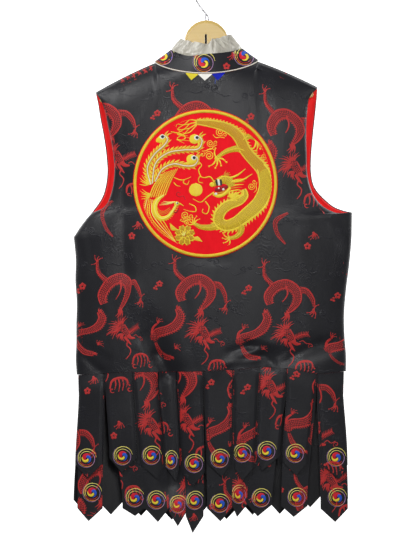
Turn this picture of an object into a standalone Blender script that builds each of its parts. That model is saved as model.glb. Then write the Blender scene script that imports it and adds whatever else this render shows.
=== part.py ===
"""A long brocade vest with two layers of hanging strips, on a flat wooden hanger.

The origin is the inner top of the hanger's hook, with +Z up. The vest's back faces -Y, and +X is the
wearer's right. Sizes and tables are in millimetres, and MM turns a finished place into metres.
"""

import math
from collections import namedtuple

import bmesh
import bpy
from mathutils import Vector

MM = 0.001

# Cloth walls
PANEL_WALL = 2.0
STRIP_WALL = 1.2
COLLAR_WALL = 2.0
INNER_COLLAR_WALL = 1.4
LINING_WALL = 1.0
APPLIQUE_WALL = 1.2
RING_HEIGHT = 1.6
PENNANT_WALL = 0.8
PENNANT_GAP = 0.6
PENNANT_SIDE = 1.5
SEAM = 0.3
HALF_SEAM = 0.15
COLLAR_SEAM = 0.4
FRONT_SPLIT = 0.2

# Grid of the panels: columns on each half of a panel, and how many of them end in the neck
HALF_COLUMNS = 18
NECK_COLUMNS = 8
EDGE_PULL = 0.35

# Neck and shoulders
SHOULDER_HALF = 232.0
NECK_HALF = 108.0
NECK_POINT_Z = {-1: -177.5, 1: -174.5}
SHOULDER_TIP_Z = {-1: -239.2, 1: -228.0}
SHOULDER_BOW = 2.5
BACK_NECK_DEPTH = 50.0
FRONT_NECK_DEPTH = 52.0
BACK_NECK_DROP = 24.0
FRONT_NECK_DROP = 76.0
NECK_POINTING = 0.7
NECK_DIP = 0.75

# Plan curve of the body, a pointed oval
BODY_SQUARENESS = 2.6
BODY_POINTING = 0.5

# Strips
STRIP_GAP = 0.6
LAYER_GAP = 0.5
LAYER_SPREAD = 3.0
FOOT_Z = -1120.0
HANG_HALF = 297.0
HANG_DEPTH = 28.0
HANG_EDGE = 4.5
STRIP_COLUMNS = 4
STRIP_ROWS = 5
STRIP_LAST_RISE = 8.0

# Roundel
ROUNDEL_X = -2.3
ROUNDEL_Z = -431.8
ROUNDEL_HALF_WIDTH = 151.2
ROUNDEL_HALF_HEIGHT = 155.4
ROUNDEL_GAP = 0.65
ROUNDEL_RINGS = (0.0, 0.3, 0.55, 0.72, 0.87, 1.0)
ROUNDEL_SEGMENTS = 48
RING_INSET = 4.5
RING_WIDTH = 6.0

# Collar piping and hanger
PIPING_RADIUS = 1.15
HEAD_RADIUS = 46.0
HEAD_TOP_Z = -88.0
BOARD_HALF_THICKNESS = 5.5
BOARD_TOP_HALF_THICKNESS = 2.2
BOARD_BEVEL = 6.0
BOARD_CLEARANCE = 2.5
BOARD_END = 224.0
BOARD_END_ROUND = 14.0
BOARD_END_SHARE = 0.35
BOARD_FOOT_BEVEL = 2.0
ARM_HEIGHT = 30.0
ARM_START = 48.0
MIDDLE_DROP = 12.0
ARM_COLUMNS = (ARM_START, 75.0, 104.0, 120.0, 145.0, 170.0, 195.0, 210.0, 216.0, 221.0, BOARD_END)
HEAD_STEPS = 6
SLOT_X = -1.3
SLOT_WIDTH = 4.7
SLOT_TOP_Z = -117.4
SLOT_LENGTH = 26.0
WIRE_RADIUS = 1.8
FERRULE_RADIUS = 3.35
HOOK_RADIUS = 28.0

Section = namedtuple("Section", "left_x left_z right_x right_z edge_y depth neck rise")
Fold = namedtuple("Fold", "x1 z1 depth1 x2 z2 depth2 width")
Strip = namedtuple("Strip", "top_left top_right foot_left foot_right corner_z tip_x tip_z")
Ring = namedtuple("Ring", "half_x back_y front_y left_z right_z back_drop front_drop")
Panel = namedtuple("Panel", "sections facing neck_depth neck_drop split folds")
FrontFoot = namedtuple("FrontFoot", "upper_shift upper_tip_z lower_shift lower_tip_z")
Pennant = namedtuple("Pennant", "name left right tip_x tip_z colour")

# The side seams, shared by the back and the fronts, from the hip seam to the underarm
SIDES = (
    Section(-272.4, -831.0, 293.0, -825.0, HALF_SEAM, 40.0, 0.0, 0.0),
    Section(-274.5, -800.0, 293.0, -790.0, HALF_SEAM, 41.0, 0.0, 0.0),
    Section(-273.4, -765.0, 290.0, -752.0, HALF_SEAM, 42.0, 0.0, 0.0),
    Section(-273.4, -725.0, 289.0, -706.0, HALF_SEAM, 43.0, 0.0, 0.0),
    Section(-272.4, -680.0, 293.0, -655.0, HALF_SEAM, 44.0, 0.0, 0.0),
    Section(-275.3, -635.0, 299.5, -603.0, HALF_SEAM, 45.0, 0.0, 0.0),
    Section(-274.5, -590.0, 304.5, -548.0, HALF_SEAM, 46.0, 0.0, 0.0),
    Section(-278.7, -543.5, 305.6, -491.5, HALF_SEAM, 47.0, 0.0, 0.0),
)

# The back's armholes, from the underarm to the shoulder seam
BACK_ARMHOLES = (
    Section(-244.7, -497.0, 272.0, -492.0, 5.0, 47.0, 0.0, 0.0),
    Section(-214.0, -480.0, 241.0, -476.0, 11.0, 46.5, 0.0, 0.0),
    Section(-200.0, -452.0, 222.0, -450.0, 15.0, 46.0, 0.0, 0.05),
    Section(-193.0, -410.0, 211.5, -412.0, 17.0, 46.0, 0.0, 0.2),
    Section(-196.0, -366.0, 210.0, -370.0, 17.0, 46.0, 0.02, 0.4),
    Section(-203.7, -325.0, 209.0, -325.0, 16.0, 46.5, 0.08, 0.6),
    Section(-212.0, -285.0, 211.0, -282.0, 14.0, 47.0, 0.25, 0.8),
    Section(-220.0, -260.0, 216.0, -250.0, 12.0, 48.0, 0.6, 0.92),
    Section(-230.0, -244.2, 231.0, -233.0, 9.0, 49.5, 1.0, 1.0),
    Section(-232.0, -239.2, 232.0, -228.0, HALF_SEAM, 50.0, 1.0, 1.0),
)

# The fronts' armholes stand further out, so that their lining shows past the back
FRONT_ARMHOLES = (
    Section(-262.0, -518.0, 283.0, -486.0, 5.0, 47.0, 0.0, 0.0),
    Section(-238.0, -488.0, 260.0, -474.0, 11.0, 46.5, 0.0, 0.0),
    Section(-217.0, -455.0, 229.0, -442.0, 15.0, 46.0, 0.0, 0.05),
    Section(-208.5, -412.0, 220.0, -408.0, 17.0, 46.0, 0.0, 0.2),
    Section(-210.5, -370.0, 220.5, -368.0, 17.0, 46.0, 0.02, 0.4),
    Section(-216.0, -331.0, 224.0, -327.0, 16.0, 46.5, 0.08, 0.6),
    Section(-223.0, -294.0, 228.0, -290.0, 14.0, 47.0, 0.25, 0.8),
    Section(-228.0, -263.0, 231.5, -256.0, 12.0, 48.0, 0.6, 0.92),
    Section(-232.0, -244.2, 233.0, -233.0, 9.0, 51.5, 1.0, 1.0),
    Section(-232.0, -239.2, 232.0, -228.0, HALF_SEAM, 52.0, 1.0, 1.0),
)

# Main folds, a trough where the depth is positive
BACK_FOLDS = (
    Fold(-122.0, -730.0, 5.0, -74.0, -830.0, 15.0, 26.0),
    Fold(-74.0, -830.0, 15.0, -66.0, -1060.0, 13.0, 28.0),
    Fold(291.0, -755.0, 6.0, 123.0, -803.0, 5.0, 20.0),
    Fold(-172.0, -430.0, 2.0, -168.0, -620.0, 4.0, 20.0),
    Fold(262.0, -505.0, 3.0, 292.0, -560.0, 4.0, 18.0),
    Fold(-272.0, -782.0, 4.0, -224.0, -826.0, 4.0, 20.0),
)
FRONT_FOLDS = (
    Fold(150.0, -700.0, 4.0, 118.0, -830.0, 12.0, 28.0),
    Fold(118.0, -830.0, 12.0, 110.0, -1060.0, 10.0, 30.0),
    Fold(-270.0, -745.0, 5.0, -110.0, -800.0, 5.0, 22.0),
    Fold(170.0, -470.0, 3.0, 160.0, -640.0, 4.0, 22.0),
    Fold(-250.0, -520.0, 3.0, -200.0, -580.0, 4.0, 20.0),
)

BACK = Panel(SIDES + BACK_ARMHOLES, -1, BACK_NECK_DEPTH, BACK_NECK_DROP, 0.0, BACK_FOLDS)
FRONT = Panel(SIDES + FRONT_ARMHOLES, 1, FRONT_NECK_DEPTH, FRONT_NECK_DROP, FRONT_SPLIT, FRONT_FOLDS)
UNDERARM_ROW = len(SIDES) - 1
TOP_ROW = len(BACK.sections) - 1
LINING_TOP_ROW = TOP_ROW - 2
PENNANT_TOP_ROW = TOP_ROW - 0.05
LINING_COLUMNS = 4

# Waves of the hip seam, as places across the body and how far the seam lies above its line
HIP_WAVE = (
    (-1.0, -1.0),
    (-0.6, 4.0),
    (-0.15, 4.0),
    (0.2, 7.0),
    (0.35, 12.0),
    (0.56, 8.0),
    (0.8, -4.0),
    (1.0, 0.0),
)

# Strips of the back, from the photograph's left to its right
BACK_UPPER = (
    Strip(-268.0, -217.0, -278.0, -218.0, -1019.0, -249.0, -1049.0),
    Strip(-213.0, -155.0, -205.0, -145.0, -1006.0, -177.0, -1036.5),
    Strip(-151.0, -101.5, -141.0, -88.0, -1018.0, -104.0, -1049.0),
    Strip(-99.5, -64.7, -86.5, -56.0, -1025.0, -64.0, -1055.0),
    Strip(-61.0, -8.6, -53.5, -2.5, -1036.0, -29.0, -1066.0),
    Strip(-3.0, 54.6, -1.0, 54.0, -1015.0, 32.0, -1045.0),
    Strip(57.8, 108.0, 56.0, 102.0, -1024.0, 74.5, -1053.5),
    Strip(112.4, 167.0, 104.0, 155.0, -1002.0, 116.0, -1032.5),
    Strip(170.3, 228.5, 158.0, 215.0, -1013.0, 188.0, -1043.0),
    Strip(234.2, 287.0, 241.0, 298.5, -1021.0, 278.0, -1051.0),
)
BACK_LOWER = (
    Strip(-268.0, -217.0, -271.0, -219.5, -1112.0, -248.0, -1139.0),
    Strip(-213.0, -155.0, -175.0, -131.5, -1112.0, -150.0, -1128.0),
    Strip(-151.0, -101.5, -129.0, -79.0, -1111.0, -102.0, -1140.5),
    Strip(-99.5, -64.7, -77.0, -43.5, -1120.0, -60.0, -1149.5),
    Strip(-61.0, -8.6, -42.0, -7.5, -1128.0, -29.0, -1163.5),
    Strip(-3.0, 54.6, 2.5, 53.0, -1112.0, 29.0, -1139.0),
    Strip(57.8, 108.0, 54.5, 84.5, -1104.0, 64.0, -1130.0),
    Strip(112.4, 167.0, 87.5, 136.5, -1104.0, 107.0, -1129.0),
    Strip(170.3, 228.5, 158.0, 211.0, -1107.0, 183.0, -1130.0),
    Strip(234.2, 287.0, 241.0, 297.0, -1113.0, 270.5, -1141.0),
)

# Strips of the fronts, worked out from an even division with these shifts of their feet
FRONT_FEET = (
    FrontFoot(-4.0, -1040.0, -14.0, -1124.0),
    FrontFoot(-5.0, -1046.0, -17.0, -1127.0),
    FrontFoot(3.0, -1038.0, -9.0, -1130.0),
    FrontFoot(0.0, -1044.0, 0.0, -1138.0),
    FrontFoot(1.0, -1050.0, -3.0, -1134.0),
    FrontFoot(3.0, -1048.0, 4.0, -1137.0),
    FrontFoot(1.0, -1040.0, 3.0, -1128.0),
    FrontFoot(-1.0, -1046.0, 5.0, -1126.0),
    FrontFoot(4.0, -1042.0, 13.0, -1112.0),
    FrontFoot(5.0, -1038.0, 11.0, -1122.0),
)
FRONT_FOOT_HALF = 26.0
FRONT_POINT = 29.0
FRONT_LANE_GAP = 3.0
FRONT_HIP_INSET = 4.0

# Rings of the collar and of the white band inside it, seam line first
NECK_RING = Ring(
    NECK_HALF,
    BACK_NECK_DEPTH,
    FRONT_NECK_DEPTH,
    NECK_POINT_Z[-1],
    NECK_POINT_Z[1],
    BACK_NECK_DROP,
    FRONT_NECK_DROP,
)
COLLAR_TOP_RING = Ring(75.0, 40.0, 42.0, -149.5, -146.5, 12.0, 62.0)
INNER_TOP_RING = Ring(53.0, 29.0, 31.0, -128.0, -124.0, 8.0, 58.0)
PIPING_LIFT = 1.5
RING_COLUMNS = 4 * NECK_COLUMNS
OPENING_ANGLE = math.radians(0.25)

# Pennants, as the x of their two corners and their tip
PENNANTS = (
    Pennant("pennant_yellow", -42.8, -17.4, -31.3, -213.8, (0.62, 0.42, 0.08)),
    Pennant("pennant_white", -16.8, 11.2, -3.6, -214.6, (0.72, 0.70, 0.64)),
    Pennant("pennant_blue", 11.8, 38.2, 23.9, -214.3, (0.09, 0.17, 0.42)),
)

# The hook's wire above the ferrule, as x and z of points on a smooth curve
HOOK_ROUTE = ((0.0, -87.6), (0.0, -82.0), (-1.5, -75.5), (-11.0, -61.0), (-21.5, -45.5))


def remove_everything():
    for thing in list(bpy.data.objects):
        bpy.data.objects.remove(thing, do_unlink=True)


def material(name, colour, roughness, metallic=0.0):
    made = bpy.data.materials.new(name)
    made.use_nodes = True
    shader = made.node_tree.nodes["Principled BSDF"]
    shader.inputs["Base Color"].default_value = (*colour, 1.0)
    shader.inputs["Roughness"].default_value = roughness
    shader.inputs["Metallic"].default_value = metallic
    return made


def mix(a, b, share):
    return a + (b - a) * share


def smooth(value):
    value = min(1.0, max(0.0, value))
    return value * value * (3.0 - 2.0 * value)


def add_object(name, bm, finish):
    """Turn a bmesh in millimetres into a named object in metres."""
    bmesh.ops.scale(bm, vec=(MM, MM, MM), verts=bm.verts)
    mesh = bpy.data.meshes.new(name)
    bm.to_mesh(mesh)
    bm.free()
    mesh.shade_smooth()
    mesh.set_sharp_from_angle(angle=math.radians(50.0))
    mesh.materials.append(finish)
    thing = bpy.data.objects.new(name, mesh)
    bpy.context.scene.collection.objects.link(thing)
    return thing


def unit_slab(columns, rows):
    """A closed slab of cells, with x, y and z from 0 to 1."""
    bm = bmesh.new()
    bmesh.ops.create_grid(bm, x_segments=columns, y_segments=rows, size=0.5)
    bmesh.ops.translate(bm, vec=(0.5, 0.5, 0.0), verts=bm.verts)
    raised = bmesh.ops.extrude_face_region(bm, geom=bm.faces[:], use_keep_orig=True)
    lifted = [part for part in raised["geom"] if isinstance(part, bmesh.types.BMVert)]
    bmesh.ops.translate(bm, vec=(0.0, 0.0, 1.0), verts=lifted)
    bmesh.ops.recalc_face_normals(bm, faces=bm.faces)
    return bm


def add_wall(name, columns, rows, place, inner, outer, finish):
    """Bend a slab into a wall: place gives a point for a share across, a share up and a distance out."""
    bm = unit_slab(columns, rows)
    for vert in bm.verts:
        across, up, through = vert.co
        vert.co = place(across, up, mix(inner, outer, through))
    return add_object(name, bm, finish)


def fold_depth(folds, x, z):
    """How far the cloth sinks at a point, from the fold that is deepest there."""
    deepest = 0.0
    for fold in folds:
        run = Vector((fold.x2 - fold.x1, fold.z2 - fold.z1))
        offset = Vector((x - fold.x1, z - fold.z1))
        share = min(1.0, max(0.0, offset.dot(run) / run.length_squared))
        distance = (offset - run * share).length
        depth = mix(fold.depth1, fold.depth2, share) * math.exp(-((distance / fold.width) ** 2))
        deepest = max(deepest, depth)
    return deepest


def hip_wave(across):
    for (start, low), (end, high) in zip(HIP_WAVE, HIP_WAVE[1:]):
        if across <= end:
            return mix(low, high, smooth((across - start) / (end - start)))
    return HIP_WAVE[-1][1]


def even_columns(t):
    return (1.0 + EDGE_PULL) * t - EDGE_PULL * t ** 3


def neck_columns(t):
    """Columns of the top edge: equal turns of the neck's oval, then equal steps along the shoulder."""
    side = math.copysign(1.0, t)
    neck_share = NECK_COLUMNS / HALF_COLUMNS
    neck_end = NECK_HALF / SHOULDER_HALF
    if abs(t) <= neck_share:
        return side * neck_end * math.sin(abs(t) / neck_share * math.pi / 2.0)
    return side * mix(neck_end, 1.0, (abs(t) - neck_share) / (1.0 - neck_share))


def section_at(panel, row):
    low = min(int(row), TOP_ROW - 1)
    share = row - low
    pair = zip(panel.sections[low], panel.sections[low + 1])
    return Section(*(mix(a, b, share) for a, b in pair))


def shoulder_z(x):
    """Height of the shoulder seam, with its slight bow."""
    side = 1 if x > 0.0 else -1
    share = (abs(x) - NECK_HALF) / (SHOULDER_HALF - NECK_HALF)
    bow = SHOULDER_BOW * 4.0 * share * (1.0 - share)
    return mix(NECK_POINT_Z[side], SHOULDER_TIP_Z[side], share) + bow


def neck_line_z(x, drop):
    share = x / NECK_HALF
    middle = mix(NECK_POINT_Z[-1], NECK_POINT_Z[1], (share + 1.0) / 2.0)
    return middle - drop * max(0.0, 1.0 - share * share) ** NECK_DIP


def crown(panel, f):
    """Height of the top edge above the line between the two shoulder tips."""
    x = f * SHOULDER_HALF
    tips = mix(SHOULDER_TIP_Z[-1], SHOULDER_TIP_Z[1], (f + 1.0) / 2.0)
    if abs(x) < NECK_HALF:
        return neck_line_z(x, panel.neck_drop) - tips
    return shoulder_z(x) - tips


def plan_shape(x, half, neck):
    """Share of the full depth at x: a pointed oval as wide as the body, or as the neck at its edge."""
    body = (1.0 - min(1.0, abs(x) / half) ** BODY_SQUARENESS) ** BODY_POINTING
    oval = (1.0 - min(1.0, abs(x) / NECK_HALF) ** 2.0) ** NECK_POINTING
    return mix(body, oval, neck)


def panel_surface(panel, t, row):
    """Outer face of a panel, for a place across from -1 to 1 and a row of its sections."""
    section = section_at(panel, row)
    f = mix(even_columns(t), neck_columns(t), section.rise)
    middle = (section.left_x + section.right_x) / 2.0
    half = (section.right_x - section.left_x) / 2.0
    side = math.copysign(1.0, t)
    from_middle = side * panel.split + f * (half - panel.split)
    z = mix(section.left_z, section.right_z, (f + 1.0) / 2.0) + section.rise * crown(panel, f)
    z += hip_wave(f) * smooth(1.0 - row / 2.0)
    x = middle + from_middle
    shape = plan_shape(from_middle, half, section.neck)
    y = section.edge_y + (mix(section.depth, panel.neck_depth, section.neck) - section.edge_y) * shape
    sink = fold_depth(panel.folds, x, z) * smooth((1.0 - abs(f)) * 8.0)
    return Vector((x, panel.facing * (y - sink), z))


def panel_point(panel, t, row, out):
    """A point at a distance from a panel's outer face, with seam edges kept flat."""
    step = 0.01
    sides = (max(-1.0, t - step), min(1.0, t + step))
    if panel.split and abs(t) < step:
        sides = (min(t, 0.0), step) if t >= 0.0 else (-step, t)
    across = panel_surface(panel, sides[1], row) - panel_surface(panel, sides[0], row)
    rows = (max(0.0, row - step), min(TOP_ROW, row + step))
    up = panel_surface(panel, t, rows[1]) - panel_surface(panel, t, rows[0])
    normal = across.cross(up) * -panel.facing
    on_side = abs(t) > 0.999 and row < UNDERARM_ROW + 0.001
    on_top = row > TOP_ROW - 0.001
    neck_edge = NECK_COLUMNS / HALF_COLUMNS
    if on_side or (on_top and abs(t) >= neck_edge - 0.001):
        normal.y = 0.0
    if on_top and abs(t) <= neck_edge + 0.001:
        normal.z = 0.0
    if panel.split and abs(t) < step:
        normal.x = 0.0
    return panel_surface(panel, t, row) + normal.normalized() * out


def find_on(panel, x, z):
    """The column and row of a panel at which its face passes x and z."""
    t = 0.0
    row = TOP_ROW / 2.0
    for _ in range(5):
        low, high = 0.0, float(TOP_ROW)
        for _ in range(16):
            row = (low + high) / 2.0
            low, high = (row, high) if panel_surface(panel, t, row).z < z else (low, row)
        low, high = -1.0, 1.0
        for _ in range(16):
            t = (low + high) / 2.0
            low, high = (t, high) if panel_surface(panel, t, row).x < x else (low, t)
    return t, row


def add_panels(brocade):
    def back(across, up, out):
        return panel_point(BACK, 2.0 * across - 1.0, up * TOP_ROW, out)

    def front_left(across, up, out):
        return panel_point(FRONT, min(-1e-6, -across), up * TOP_ROW, out)

    def front_right(across, up, out):
        return panel_point(FRONT, max(1e-6, 1.0 - across), up * TOP_ROW, out)

    add_wall("back", 2 * HALF_COLUMNS, TOP_ROW, back, -PANEL_WALL, 0.0, brocade)
    add_wall("front_left", HALF_COLUMNS, TOP_ROW, front_left, -PANEL_WALL, 0.0, brocade)
    add_wall("front_right", HALF_COLUMNS, TOP_ROW, front_right, -PANEL_WALL, 0.0, brocade)


def add_linings(satin):
    """Facings inside the fronts' armholes, on the fronts' own columns and rows."""
    width = LINING_COLUMNS / HALF_COLUMNS
    outer = -PANEL_WALL - SEAM
    inner = outer - LINING_WALL

    def row_of(up):
        return mix(UNDERARM_ROW, LINING_TOP_ROW, up)

    def left(across, up, out):
        return panel_point(FRONT, mix(width - 1.0, -1.0, across), row_of(up), out)

    def right(across, up, out):
        return panel_point(FRONT, mix(1.0, 1.0 - width, across), row_of(up), out)

    rows = LINING_TOP_ROW - UNDERARM_ROW
    add_wall("lining_left", LINING_COLUMNS, rows, left, inner, outer, satin)
    add_wall("lining_right", LINING_COLUMNS, rows, right, inner, outer, satin)


def ring_surface(ring, angle):
    """A point of a collar ring: the angle runs from the centre front round the wearer's left side."""
    turn = abs(math.sin(angle))
    side = math.cos(angle)
    at_front = math.sin(angle) > 0.0
    depth = ring.front_y if at_front else -ring.back_y
    drop = ring.front_drop if at_front else ring.back_drop
    z = mix(ring.left_z, ring.right_z, (side + 1.0) / 2.0) - drop * turn ** (2.0 * NECK_DIP)
    return Vector((ring.half_x * side, depth * turn ** (2.0 * NECK_POINTING), z))


def ring_angle(across):
    angle = math.pi / 2.0 + across * 2.0 * math.pi
    return min(math.pi * 2.5 - OPENING_ANGLE, max(math.pi / 2.0 + OPENING_ANGLE, angle))


def seam_line(angle, lift):
    """A line above the panels' neck edge, lifted more where the edge is steep."""
    step = 0.01
    run = ring_surface(NECK_RING, angle + step) - ring_surface(NECK_RING, angle - step)
    steepness = run.length / math.hypot(run.x, run.y)
    return ring_surface(NECK_RING, angle) + Vector((0.0, 0.0, lift * steepness))


def collar_foot(angle):
    return seam_line(angle, 2.0 * PIPING_LIFT)


def collar_top(angle):
    return ring_surface(COLLAR_TOP_RING, angle)


def inner_top(angle):
    return ring_surface(INNER_TOP_RING, angle)


def between_rings(rings, angle, up):
    """A point on the band that runs over several rings."""
    place = up * (len(rings) - 1)
    low = min(int(place), len(rings) - 2)
    return rings[low](angle).lerp(rings[low + 1](angle), place - low)


def band_point(rings, across, up, out):
    angle = ring_angle(across)
    step = 0.02
    round_step = between_rings(rings, angle + step, up) - between_rings(rings, angle - step, up)
    low, high = max(0.0, up - step), min(1.0, up + step)
    rise = between_rings(rings, angle, high) - between_rings(rings, angle, low)
    normal = round_step.cross(rise)
    if up < 0.001:
        normal.z = 0.0
    if across < 0.001 or across > 0.999:
        normal.x = 0.0
    return between_rings(rings, angle, up) + normal.normalized() * out


def add_collar(brocade, satin, cord):
    outer_rings = (collar_foot, collar_top)
    inner_rings = (collar_foot, collar_top, inner_top)

    def outer_band(across, up, out):
        return band_point(outer_rings, across, up, out)

    def inner_band(across, up, out):
        return band_point(inner_rings, across, up, out)

    inner_face = -COLLAR_WALL - COLLAR_SEAM
    add_wall("collar", RING_COLUMNS, 3, outer_band, -COLLAR_WALL, 0.0, brocade)
    inner_back = inner_face - INNER_COLLAR_WALL
    add_wall("inner_collar", RING_COLUMNS, 4, inner_band, inner_back, inner_face, satin)
    columns = range(RING_COLUMNS + 1)
    route = [seam_line(ring_angle(column / RING_COLUMNS), PIPING_LIFT) for column in columns]
    add_wire("collar_piping", route, [1.0] * len(route), PIPING_RADIUS, cord)


def add_wire(name, route, radii, radius, finish):
    curve = bpy.data.curves.new(name, "CURVE")
    curve.dimensions = "3D"
    curve.bevel_depth = radius * MM
    curve.bevel_resolution = 2
    curve.use_fill_caps = True
    spline = curve.splines.new("POLY")
    spline.points.add(len(route) - 1)
    for knot, place, size in zip(spline.points, route, radii):
        knot.co = (*(Vector(place) * MM), 1.0)
        knot.radius = size
    curve.materials.append(finish)
    thing = bpy.data.objects.new(name, curve)
    bpy.context.scene.collection.objects.link(thing)
    return thing


def add_pennants():
    """Small pointed flags on the back, hung from the collar seam."""
    for pennant in PENNANTS:
        def place(across, up, out, pennant=pennant):
            x = mix(pennant.left, pennant.right, across)
            top = neck_line_z(x, BACK_NECK_DROP) - SEAM
            point = 1.0 - abs(2.0 * across - 1.0)
            low = mix(top - PENNANT_SIDE, pennant.tip_z, point)
            lean = (pennant.tip_x - (pennant.left + pennant.right) / 2.0) * point * (1.0 - up)
            t, row = find_on(BACK, x + lean, mix(low, top, up))
            return panel_point(BACK, t, min(row, PENNANT_TOP_ROW), out)

        finish = material(pennant.name, pennant.colour, 0.6)
        add_wall(pennant.name, 2, 2, place, PENNANT_GAP, PENNANT_GAP + PENNANT_WALL, finish)


def on_back(x, z, out):
    t, row = find_on(BACK, x, z)
    return panel_point(BACK, t, row, out)


def spun_profile(profile, segments):
    """A closed disc or ring: a profile of radius and height, spun round the z axis."""
    bm = bmesh.new()
    verts = [bm.verts.new((radius, 0.0, height)) for radius, height in profile]
    edges = [bm.edges.new(pair) for pair in zip(verts, verts[1:])]
    if profile[0][0] > 0.0:
        edges.append(bm.edges.new((verts[-1], verts[0])))
    bmesh.ops.spin(
        bm,
        geom=verts + edges,
        cent=(0.0, 0.0, 0.0),
        axis=(0.0, 0.0, 1.0),
        angle=2.0 * math.pi,
        steps=segments,
        use_merge=True,
    )
    bmesh.ops.remove_doubles(bm, verts=bm.verts, dist=0.0001)
    bmesh.ops.recalc_face_normals(bm, faces=bm.faces)
    return bm


def add_roundel(satin, gold):
    """The round applique on the back, and the gold ring on it, both made from the back's points."""
    top = ROUNDEL_GAP + APPLIQUE_WALL
    disc = [(share, top) for share in ROUNDEL_RINGS]
    disc += [(share, ROUNDEL_GAP) for share in reversed(ROUNDEL_RINGS)]
    outer = 1.0 - (RING_INSET - RING_WIDTH / 2.0) / ROUNDEL_HALF_WIDTH
    inner = 1.0 - (RING_INSET + RING_WIDTH / 2.0) / ROUNDEL_HALF_WIDTH
    low = top + SEAM
    ring = ((inner, low), (inner, low + RING_HEIGHT), (outer, low + RING_HEIGHT), (outer, low))
    for name, profile, finish in (("roundel", disc, satin), ("roundel_ring", ring, gold)):
        bm = spun_profile(profile, ROUNDEL_SEGMENTS)
        for vert in bm.verts:
            x = ROUNDEL_X + ROUNDEL_HALF_WIDTH * vert.co.x
            z = ROUNDEL_Z + ROUNDEL_HALF_HEIGHT * vert.co.y
            vert.co = on_back(x, z, vert.co.z)
        add_object(name, bm, finish)


def hip_z(x):
    """Height of the hip seam at x."""
    hip = SIDES[0]
    share = min(1.0, max(0.0, (x - hip.left_x) / (hip.right_x - hip.left_x)))
    return mix(hip.left_z, hip.right_z, share) + hip_wave(2.0 * share - 1.0)


def hang_surface(panel, x, z):
    """The sheet that the strips hang in, which carries on from a panel's hip."""
    hip = SIDES[0]
    fall = min(1.0, max(0.0, (hip_z(x) - z) / (hip_z(x) - FOOT_Z)))
    middle = (hip.left_x + hip.right_x) / 2.0
    half = mix((hip.right_x - hip.left_x) / 2.0, HANG_HALF, fall)
    depth = mix(hip.depth, HANG_DEPTH, fall)
    edge = mix(hip.edge_y, HANG_EDGE, smooth(fall * 8.0))
    shape = plan_shape(x - middle, half, 0.0)
    across = min(1.0, abs(x - middle) / half)
    sink = fold_depth(panel.folds, x, z) * smooth((1.0 - across) * 8.0)
    return Vector((x, panel.facing * (edge + (depth - edge) * shape - sink), z))


def hang_point(panel, x, z, out):
    step = 1.0
    across = hang_surface(panel, x + step, z) - hang_surface(panel, x - step, z)
    up = hang_surface(panel, x, z + step) - hang_surface(panel, x, z - step)
    normal = across.cross(up) * -panel.facing
    return hang_surface(panel, x, z) + normal.normalized() * out


def add_strip(name, panel, strip, layer, finish):
    """A hanging strip with a pointed end, in the outer layer 0 or in the inner layer 1."""
    def place(across, up, through):
        if panel.facing > 0:
            across = 1.0 - across
        down = 1.0 - up
        last_row = down > 0.999
        fall = min(1.0, down * STRIP_ROWS / (STRIP_ROWS - 1))
        top_x = mix(strip.top_left, strip.top_right, across)
        foot_x = mix(strip.foot_left, strip.foot_right, across)
        x = mix(top_x, foot_x, smooth(fall))
        top = hip_z(top_x) - STRIP_GAP
        z = mix(top, strip.corner_z + STRIP_LAST_RISE, fall)
        if last_row:
            point = 1.0 - abs(2.0 * across - 1.0)
            z = mix(strip.corner_z, strip.tip_z, point)
            x += (strip.tip_x - (strip.foot_left + strip.foot_right) / 2.0) * point
        spread = layer * (STRIP_WALL + LAYER_GAP + LAYER_SPREAD * smooth(fall * 5.0))
        return hang_point(panel, x, z, through - spread)

    add_wall(name, STRIP_COLUMNS, STRIP_ROWS, place, -STRIP_WALL, 0.0, finish)


def front_strips(layer):
    """The fronts' strips, five on each side of the centre front."""
    hip = SIDES[0]
    left, right = hip.left_x + FRONT_HIP_INSET, hip.right_x - FRONT_HIP_INSET
    width = (right - left) / len(FRONT_FEET)
    strips = []
    for index, foot in enumerate(FRONT_FEET):
        start = left + index * width + FRONT_LANE_GAP / 2.0
        middle = start + (width - FRONT_LANE_GAP) / 2.0
        shift = foot.lower_shift if layer else foot.upper_shift
        tip_z = foot.lower_tip_z if layer else foot.upper_tip_z
        end = start + width - FRONT_LANE_GAP
        foot_x = middle + shift
        corner_z = tip_z + FRONT_POINT
        feet = (foot_x - FRONT_FOOT_HALF, foot_x + FRONT_FOOT_HALF)
        strips.append(Strip(start, end, feet[0], feet[1], corner_z, foot_x, tip_z))
    return strips


def add_strips(brocade):
    sets = (
        ("back_upper", BACK, BACK_UPPER, 0),
        ("back_lower", BACK, BACK_LOWER, 1),
        ("front_upper", FRONT, front_strips(0), 0),
        ("front_lower", FRONT, front_strips(1), 1),
    )
    for group, panel, strips, layer in sets:
        for number, strip in enumerate(strips, start=1):
            add_strip(f"strip_{group}_{number}", panel, strip, layer, brocade)


def board_top(x):
    """Upper edge of the hanger: a round head, then arms that follow the shoulders from inside."""
    if abs(x) <= HEAD_RADIUS:
        return HEAD_TOP_Z - HEAD_RADIUS + math.sqrt(max(0.0, HEAD_RADIUS ** 2 - x * x))
    return shoulder_z(x) - PANEL_WALL - BOARD_CLEARANCE


def board_columns():
    """Places along the hanger, close together where its outline turns."""
    turns = range(HEAD_STEPS + 1)
    head = [HEAD_RADIUS * math.sin(math.pi / 2.0 * step / HEAD_STEPS) for step in turns]
    half = head + list(ARM_COLUMNS)
    return [-x for x in reversed(half[1:])] + half


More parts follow.
